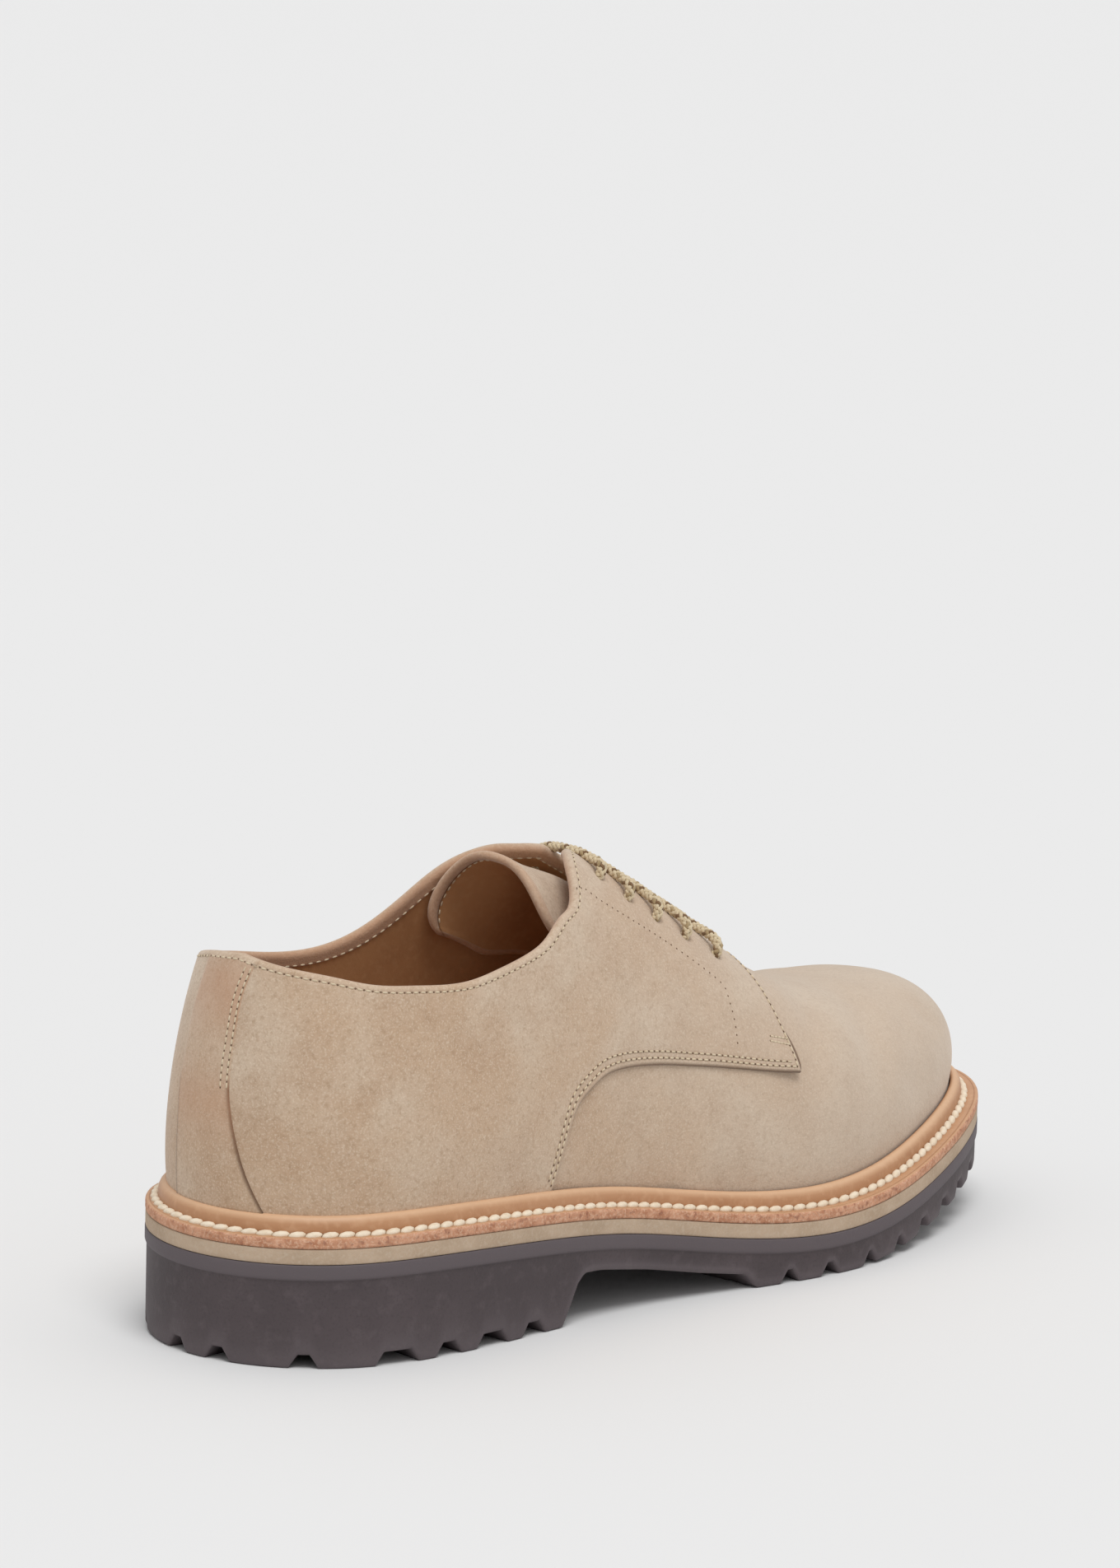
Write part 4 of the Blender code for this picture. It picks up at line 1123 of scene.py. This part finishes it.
def make_lace():
    """Braid of eight strands, four each way, over a core, along the lace's centre line."""
    path = lace_path()
    chord = travelled(path)
    along = np.arange(0, chord[-1], BRAID_STEP)
    line = np.stack([spline(chord, path[:, i], along) for i in range(3)], axis=1)
    travel = travelled(line)
    ahead = unit(np.gradient(line, axis=0))
    aside = np.cross(ahead[0], (1, 0, 0))
    asides = []
    for direction in ahead:
        aside = unit(aside - direction * (aside @ direction))
        asides.append(aside)
    asides = np.array(asides)
    others = np.cross(ahead, asides)
    points, faces, slots = [], [], []
    count = len(line)
    plans = (  # way round, or 0 for the core; number; yarn
        (1, 0, 0), (1, 1, 1), (1, 2, 0), (1, 3, 0), (-1, 0, 0), (-1, 1, 2), (-1, 2, 0), (-1, 3, 0), (0, 0, 2),
    )
    for hand, number, slot in plans:
        start = len(points) * count
        turn = hand * 2 * math.pi * travel / BRAID_PITCH + number * math.pi / 2
        waves = hand * BRAID_WAVE * np.cos(8 * math.pi * travel / BRAID_PITCH)
        radius = BRAID_RADIUS * abs(hand) + waves
        away = asides * np.cos(turn)[:, None] + others * np.sin(turn)[:, None]
        strand = line + away * radius[:, None]
        flank = np.cross(unit(np.gradient(strand, axis=0)), away)
        wide, thick = STRAND_SIZE if hand else CORE_SIZE
        for step in np.linspace(0, 2 * math.pi, STRAND_SIDES, endpoint=False):
            points.append(strand + flank * wide * math.cos(step) + away * thick * math.sin(step))
        for i in range(STRAND_SIDES):
            a, b = start + i * count, start + (i + 1) % STRAND_SIDES * count
            faces += [(a + j, b + j, b + j + 1, a + j + 1) for j in range(count - 1)]
        for j in (0, count - 1):
            faces.append(tuple(start + i * count + j for i in range(STRAND_SIDES)))
        slots += [slot] * (len(faces) - len(slots))
    return piece("braided_lace", np.concatenate(points) - CENTRE, faces, yarns, slots)


def bead_tree():
    """Nodes that put a bead of given sizes and finish at each point, turned by its two stored directions."""
    tree = bpy.data.node_groups.new("beads_on_points", "GeometryNodeTree")
    face = tree.interface
    face.new_socket("Points", in_out="INPUT", socket_type="NodeSocketGeometry")
    for name in ("Length", "Width", "Height"):
        face.new_socket(name, in_out="INPUT", socket_type="NodeSocketFloat")
    face.new_socket("Finish", in_out="INPUT", socket_type="NodeSocketMaterial")
    face.new_socket("Beads", in_out="OUTPUT", socket_type="NodeSocketGeometry")
    given = add(tree, "NodeGroupInput").outputs
    ball = add(tree, "GeometryNodeMeshUVSphere", {"Segments": 8, "Rings": 6, "Radius": 0.5})
    size = add(tree, "ShaderNodeCombineXYZ", {0: given["Length"], 1: given["Width"], 2: given["Height"]})
    bead = add(tree, "GeometryNodeTransform", {"Geometry": ball.outputs["Mesh"], "Scale": size.outputs[0]})
    smooth = add(tree, "GeometryNodeSetShadeSmooth", {"Geometry": bead.outputs[0]})
    ahead = add(tree, "GeometryNodeInputNamedAttribute", {"Name": "ahead"}, data_type="FLOAT_VECTOR")
    away = add(tree, "GeometryNodeInputNamedAttribute", {"Name": "away"}, data_type="FLOAT_VECTOR")
    turn = add(tree, "FunctionNodeAxesToRotation", {0: ahead.outputs[0], 1: away.outputs[0]},
               primary_axis="X", secondary_axis="Z")
    placed = add(tree, "GeometryNodeInstanceOnPoints", {
        "Points": given["Points"], "Instance": smooth.outputs[0], "Rotation": turn.outputs[0]})
    real = add(tree, "GeometryNodeRealizeInstances", {"Geometry": placed.outputs[0]})
    painted = add(tree, "GeometryNodeSetMaterial", {"Geometry": real.outputs[0], "Material": given["Finish"]})
    add(tree, "NodeGroupOutput", {0: painted.outputs[0]})
    return tree


def beads(name, rows, sizes, finish):
    """A piece of beads: rows hold places, directions ahead and directions away from the surface."""
    places, ahead, away = (np.concatenate([row[i] for row in rows]) for i in range(3))
    mesh = bpy.data.meshes.new(name + "_points")
    mesh.from_pydata((places - CENTRE).tolist(), [], [])
    for key, values in (("ahead", ahead), ("away", away)):
        stored = mesh.attributes.new(key, "FLOAT_VECTOR", "POINT")
        stored.data.foreach_set("vector", values.astype(np.float32).ravel())
    holder = bpy.data.objects.new(name + "_points", mesh)
    bpy.context.scene.collection.objects.link(holder)
    modifier = holder.modifiers.new("beads", "NODES")
    modifier.node_group = BEADS
    for item in BEADS.interface.items_tree:
        if item.item_type == "SOCKET" and item.in_out == "INPUT" and item.name != "Points":
            modifier[item.identifier] = finish if item.name == "Finish" else sizes[item.name]
    bpy.context.view_layer.update()
    evaluated = holder.evaluated_get(bpy.context.evaluated_depsgraph_get())
    made = bpy.data.objects.new(name, bpy.data.meshes.new_from_object(evaluated))
    bpy.context.scene.collection.objects.link(made)
    bpy.data.objects.remove(holder)
    return made


def along_line(points, away, pitch, start=0.5, tilt=0.0):
    """Evenly spaced places on a line, with the directions ahead and away there."""
    travel = travelled(points)
    count = max(int(travel[-1] / pitch), 1)
    at = (np.arange(count) + start) * travel[-1] / count
    found = []
    for values in (points, np.gradient(points, axis=0), away):
        found.append(np.stack([np.interp(at, travel, values[:, i]) for i in range(3)], axis=1))
    places, ahead, out = found[0], unit(found[1]), unit(found[2])
    if tilt:
        ahead = ahead * math.cos(tilt) + np.cross(out, ahead) * math.sin(tilt)
    return places, ahead, out


def on_form(side, t, angle, lift):
    """A line on the upper as points and directions away from it."""
    return skin(side, t, angle, lift), normal(side, t, angle)


def collar_row(side, by, lift, end=0.600):
    """Line a given distance below the collar and facing edge, from the heel."""
    t = spread([0.0, end], 0.0015)
    head = topline(side, t)
    _, _, dt, da = upwards(side, t, head)
    strip = COUNTER_LIFT - QUARTER_LIFT if lift > 0 else -STRIP_STEP
    over = np.clip((HEEL_PIECE[-1][1 if side < 0 else 2] - t) / 0.003, 0, 1)
    return on_form(side, np.maximum(t - dt * by, 0), head - da * by, lift + strip * over)


def strip_row(side, by):
    """Line inside the heel strip's edge, along its upper part."""
    rows = np.asarray(HEEL_PIECE)
    rise = np.linspace(*STRIP_SEWN, 60)
    t = spline(rows[:, 0], rows[:, 1 if side < 0 else 2], rise) - by / CONTOUR
    return on_form(side, t, topline(side, t) * rise, COUNTER_LIFT - 0.1 * MM * (by < MM))


def through(side, spots):
    """Smooth line on the quarter through a few places."""
    knots = np.linspace(0, 1, len(spots))
    t, angle = (spline(knots, [spot[i] for spot in spots], np.linspace(0, 1, 90)) for i in (0, 1))
    return on_form(side, t, angle, QUARTER_LIFT + corner_rise(t, angle))


def joined(function):
    """One line round the heel from a function of the side."""
    outer, inner = function(-1), function(1)
    return tuple(round_heel(pair) for pair in zip(outer, inner))


def edge_row(side, by, front):
    """Line inside the quarter's lower edge, and inside its front edge too where that is asked for."""
    rows = [row[1:] for row in edge_line()]
    knots = np.linspace(0, 1, len(rows[0]))
    share, degrees = (np.interp(np.linspace(0, 1, 240), knots, row) for row in rows)
    flat_line = flat(share, degrees)
    ahead = unit(np.gradient(flat_line, axis=0))
    inward = np.stack([-ahead[:, 1], ahead[:, 0]], axis=1)
    moved = flat_line + inward * by
    t, a = moved[:, 0] / CONTOUR, moved[:, 1] / GIRTH * 90
    ok = (a > 0.4) & (a < 76) & (distance_to(moved, flat_line) > 0.97 * by)
    if not front:
        ok &= degrees < QUARTER_EDGE[-1][1]
    return on_form(side, t[ok], a[ok], QUARTER_LIFT + corner_rise(t[ok], a[ok]))


BEADS = bead_tree()
FINE = {"Length": 1.65 * MM, "Width": 0.52 * MM, "Height": 0.5 * MM}
HOLE = {"Length": 0.6 * MM, "Width": 0.52 * MM, "Height": 0.16 * MM}
CHUNKY = {"Length": 4.9 * MM, "Width": 2.35 * MM, "Height": 2.0 * MM}


def lock_row():
    """Places of the lock stitches on the welt's rim, leaning out."""
    shares = spread([0, 1], 0.0015)
    halves = []
    for side in (-1, 1):
        seam = column(FEATHER, outline(side, shares)[..., 0] / LENGTH)
        plan = inset(side, shares, (seam - LOCK_OUT) * MM)
        halves.append((raised(plan, welt_base(plan[:, 0]) + LOCK_HEIGHT), outward(side, shares)))
    line, away = (np.concatenate([outer, inner[::-1][1:]]) for outer, inner in zip(*halves))
    away = raised(away * 0.5, np.full(len(away), 0.85))
    return along_line(line, away, LOCK_PITCH, tilt=math.radians(LOCK_TILT))


def main():
    """Makes every piece, says which node it replaces, hides that node, and attaches the piece to the root."""
    fine_rows, hole_rows = [], []

    def sew(line, pitch, shown=True):
        points, away = line
        if shown:
            fine_rows.append(along_line(points, away, pitch))
        hole_rows.append(along_line(points + away * HOLE_LIFT, away, pitch, start=0.0))

    sew(joined(lambda side: collar_row(side, TOP_ROW, QUARTER_LIFT - 0.06 * MM)), TOP_PITCH)
    for side in (-1, 1):
        for by in EDGE_ROWS:
            sew(edge_row(side, by, front=by == EDGE_ROWS[0]), EDGE_PITCH)
        for spots in TACK_ROWS:
            sew(through(side, spots), TACK_PITCH)
        sew(through(side, FACING_ROW), FACING_PITCH, shown=False)
    for by in STRIP_ROWS:
        sew(strip_row(-1, by), STRIP_PITCH)
    points, away = joined(lambda side: collar_row(side, LINING_ROW, -(WALL + LINING_STEP)))
    fine_rows.append(along_line(points, -away, LINING_PITCH))
    tongue, tongue_line = make_tongue()
    fine_rows.append(along_line(*tongue_line, TONGUE_PITCH))
    made = [
        (make_outsole(), "outsole", "outsole_rubber"),
        (make_midsole(), "midsole", "midsole_layer"),
        (make_welt(), "welt", "welt_leather"),
        (make_vamp(), "upper", "upper_suede"),
        (make_quarters(), None, "upper_suede"),
        (make_heel_strip(), None, "upper_suede"),
        (tongue, "tongue", "tongue_suede"),
        (make_sock(), "insole", "insole_leather"),
        (make_lace(), "lace", "lace_cord"),
        (beads("upper_stitches", fine_rows, FINE, sand_thread), None, "lace_cord"),
        (beads("needle_holes", hole_rows, HOLE, painted_hole_shade), None, "upper_suede"),
        (beads("welt_stitches", [lock_row()], CHUNKY, thread), None, "welt_leather"),
    ]
    for thing, node, slot in made:
        if node:
            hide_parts(node)
        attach(thing, "root")


def make_stage():
    """Plain pale floor and soft studio light."""
    half = 30.0
    mesh = bpy.data.meshes.new("floor")
    corners = [(x * half, y * half, 0) for x, y in ((-1, -1), (1, -1), (1, 1), (-1, 1))]
    mesh.from_pydata(corners, [], [(0, 1, 2, 3)])
    floor = bpy.data.objects.new("floor", mesh)
    bpy.context.scene.collection.objects.link(floor)
    paper = bpy.data.materials.new("pale_paper")
    paper.use_nodes = True
    shader = paper.node_tree.nodes["Principled BSDF"]
    shader.inputs["Base Color"].default_value = linear("#E6E6E6")
    shader.inputs["Roughness"].default_value = 0.9
    shader.inputs["Specular IOR Level"].default_value = 0.1
    mesh.materials.append(paper)
    world = bpy.data.worlds.new("studio")
    bpy.context.scene.world = world
    world.use_nodes = True
    sky = world.node_tree.nodes["Background"]
    sky.inputs["Color"].default_value = (1.0, 1.0, 1.0, 1)
    sky.inputs["Strength"].default_value = 0.545
    for name, direction, strength, spread_angle in (
        ("key", (-0.20, -0.36, 1.0), 1.45, 30), ("fill", (0.5, 0.3, 1.0), 0.30, 80),
    ):
        light = bpy.data.lights.new(name, "SUN")
        light.energy = strength
        light.angle = math.radians(spread_angle)
        lamp = bpy.data.objects.new(name, light)
        lamp.rotation_euler = Vector(direction).to_track_quat("Z", "Y").to_euler()
        bpy.context.scene.collection.objects.link(lamp)


def make_camera():
    """Camera at the photograph's angle: fitted place, heading, roll and focal length."""
    height, focal = 1904, 10199.8  # pixels
    azimuth, elevation, roll = (math.radians(angle) for angle in (-47.929, 13.307, 1.441))
    target, distance = Vector((0.15, 0.0, 0.03)), 2.3
    # Turns that bring the target off the picture's middle, from its place in pixels
    below, aside = math.atan2(450.436, focal), math.atan2(38.446, focal)
    level = math.cos(elevation)
    back = Vector((math.sin(azimuth) * level, -math.cos(azimuth) * level, math.sin(elevation)))
    right = Vector((math.cos(azimuth), math.sin(azimuth), 0))
    up = back.cross(right)
    place = target + back * distance
    forward = -back * math.cos(below) + up * math.sin(below)
    up = up * math.cos(below) + back * math.sin(below)
    ahead = forward * math.cos(aside) - right * math.sin(aside)
    right = right * math.cos(aside) + forward * math.sin(aside)
    up = up * math.cos(roll) - right * math.sin(roll)
    right = ahead.cross(up)
    data = bpy.data.cameras.new("camera")
    data.sensor_fit = "VERTICAL"
    data.sensor_height = 36
    data.lens = focal / height * data.sensor_height
    data.clip_end = 100
    camera = bpy.data.objects.new("camera", data)
    bpy.context.scene.collection.objects.link(camera)
    turn = Matrix((right, up, -ahead)).transposed().to_4x4()
    camera.matrix_world = Matrix.Translation(place - Vector(CENTRE)) @ turn
    bpy.context.scene.camera = camera


make_camera()
make_stage()
main()
bpy.context.scene.view_settings.view_transform = "Standard"
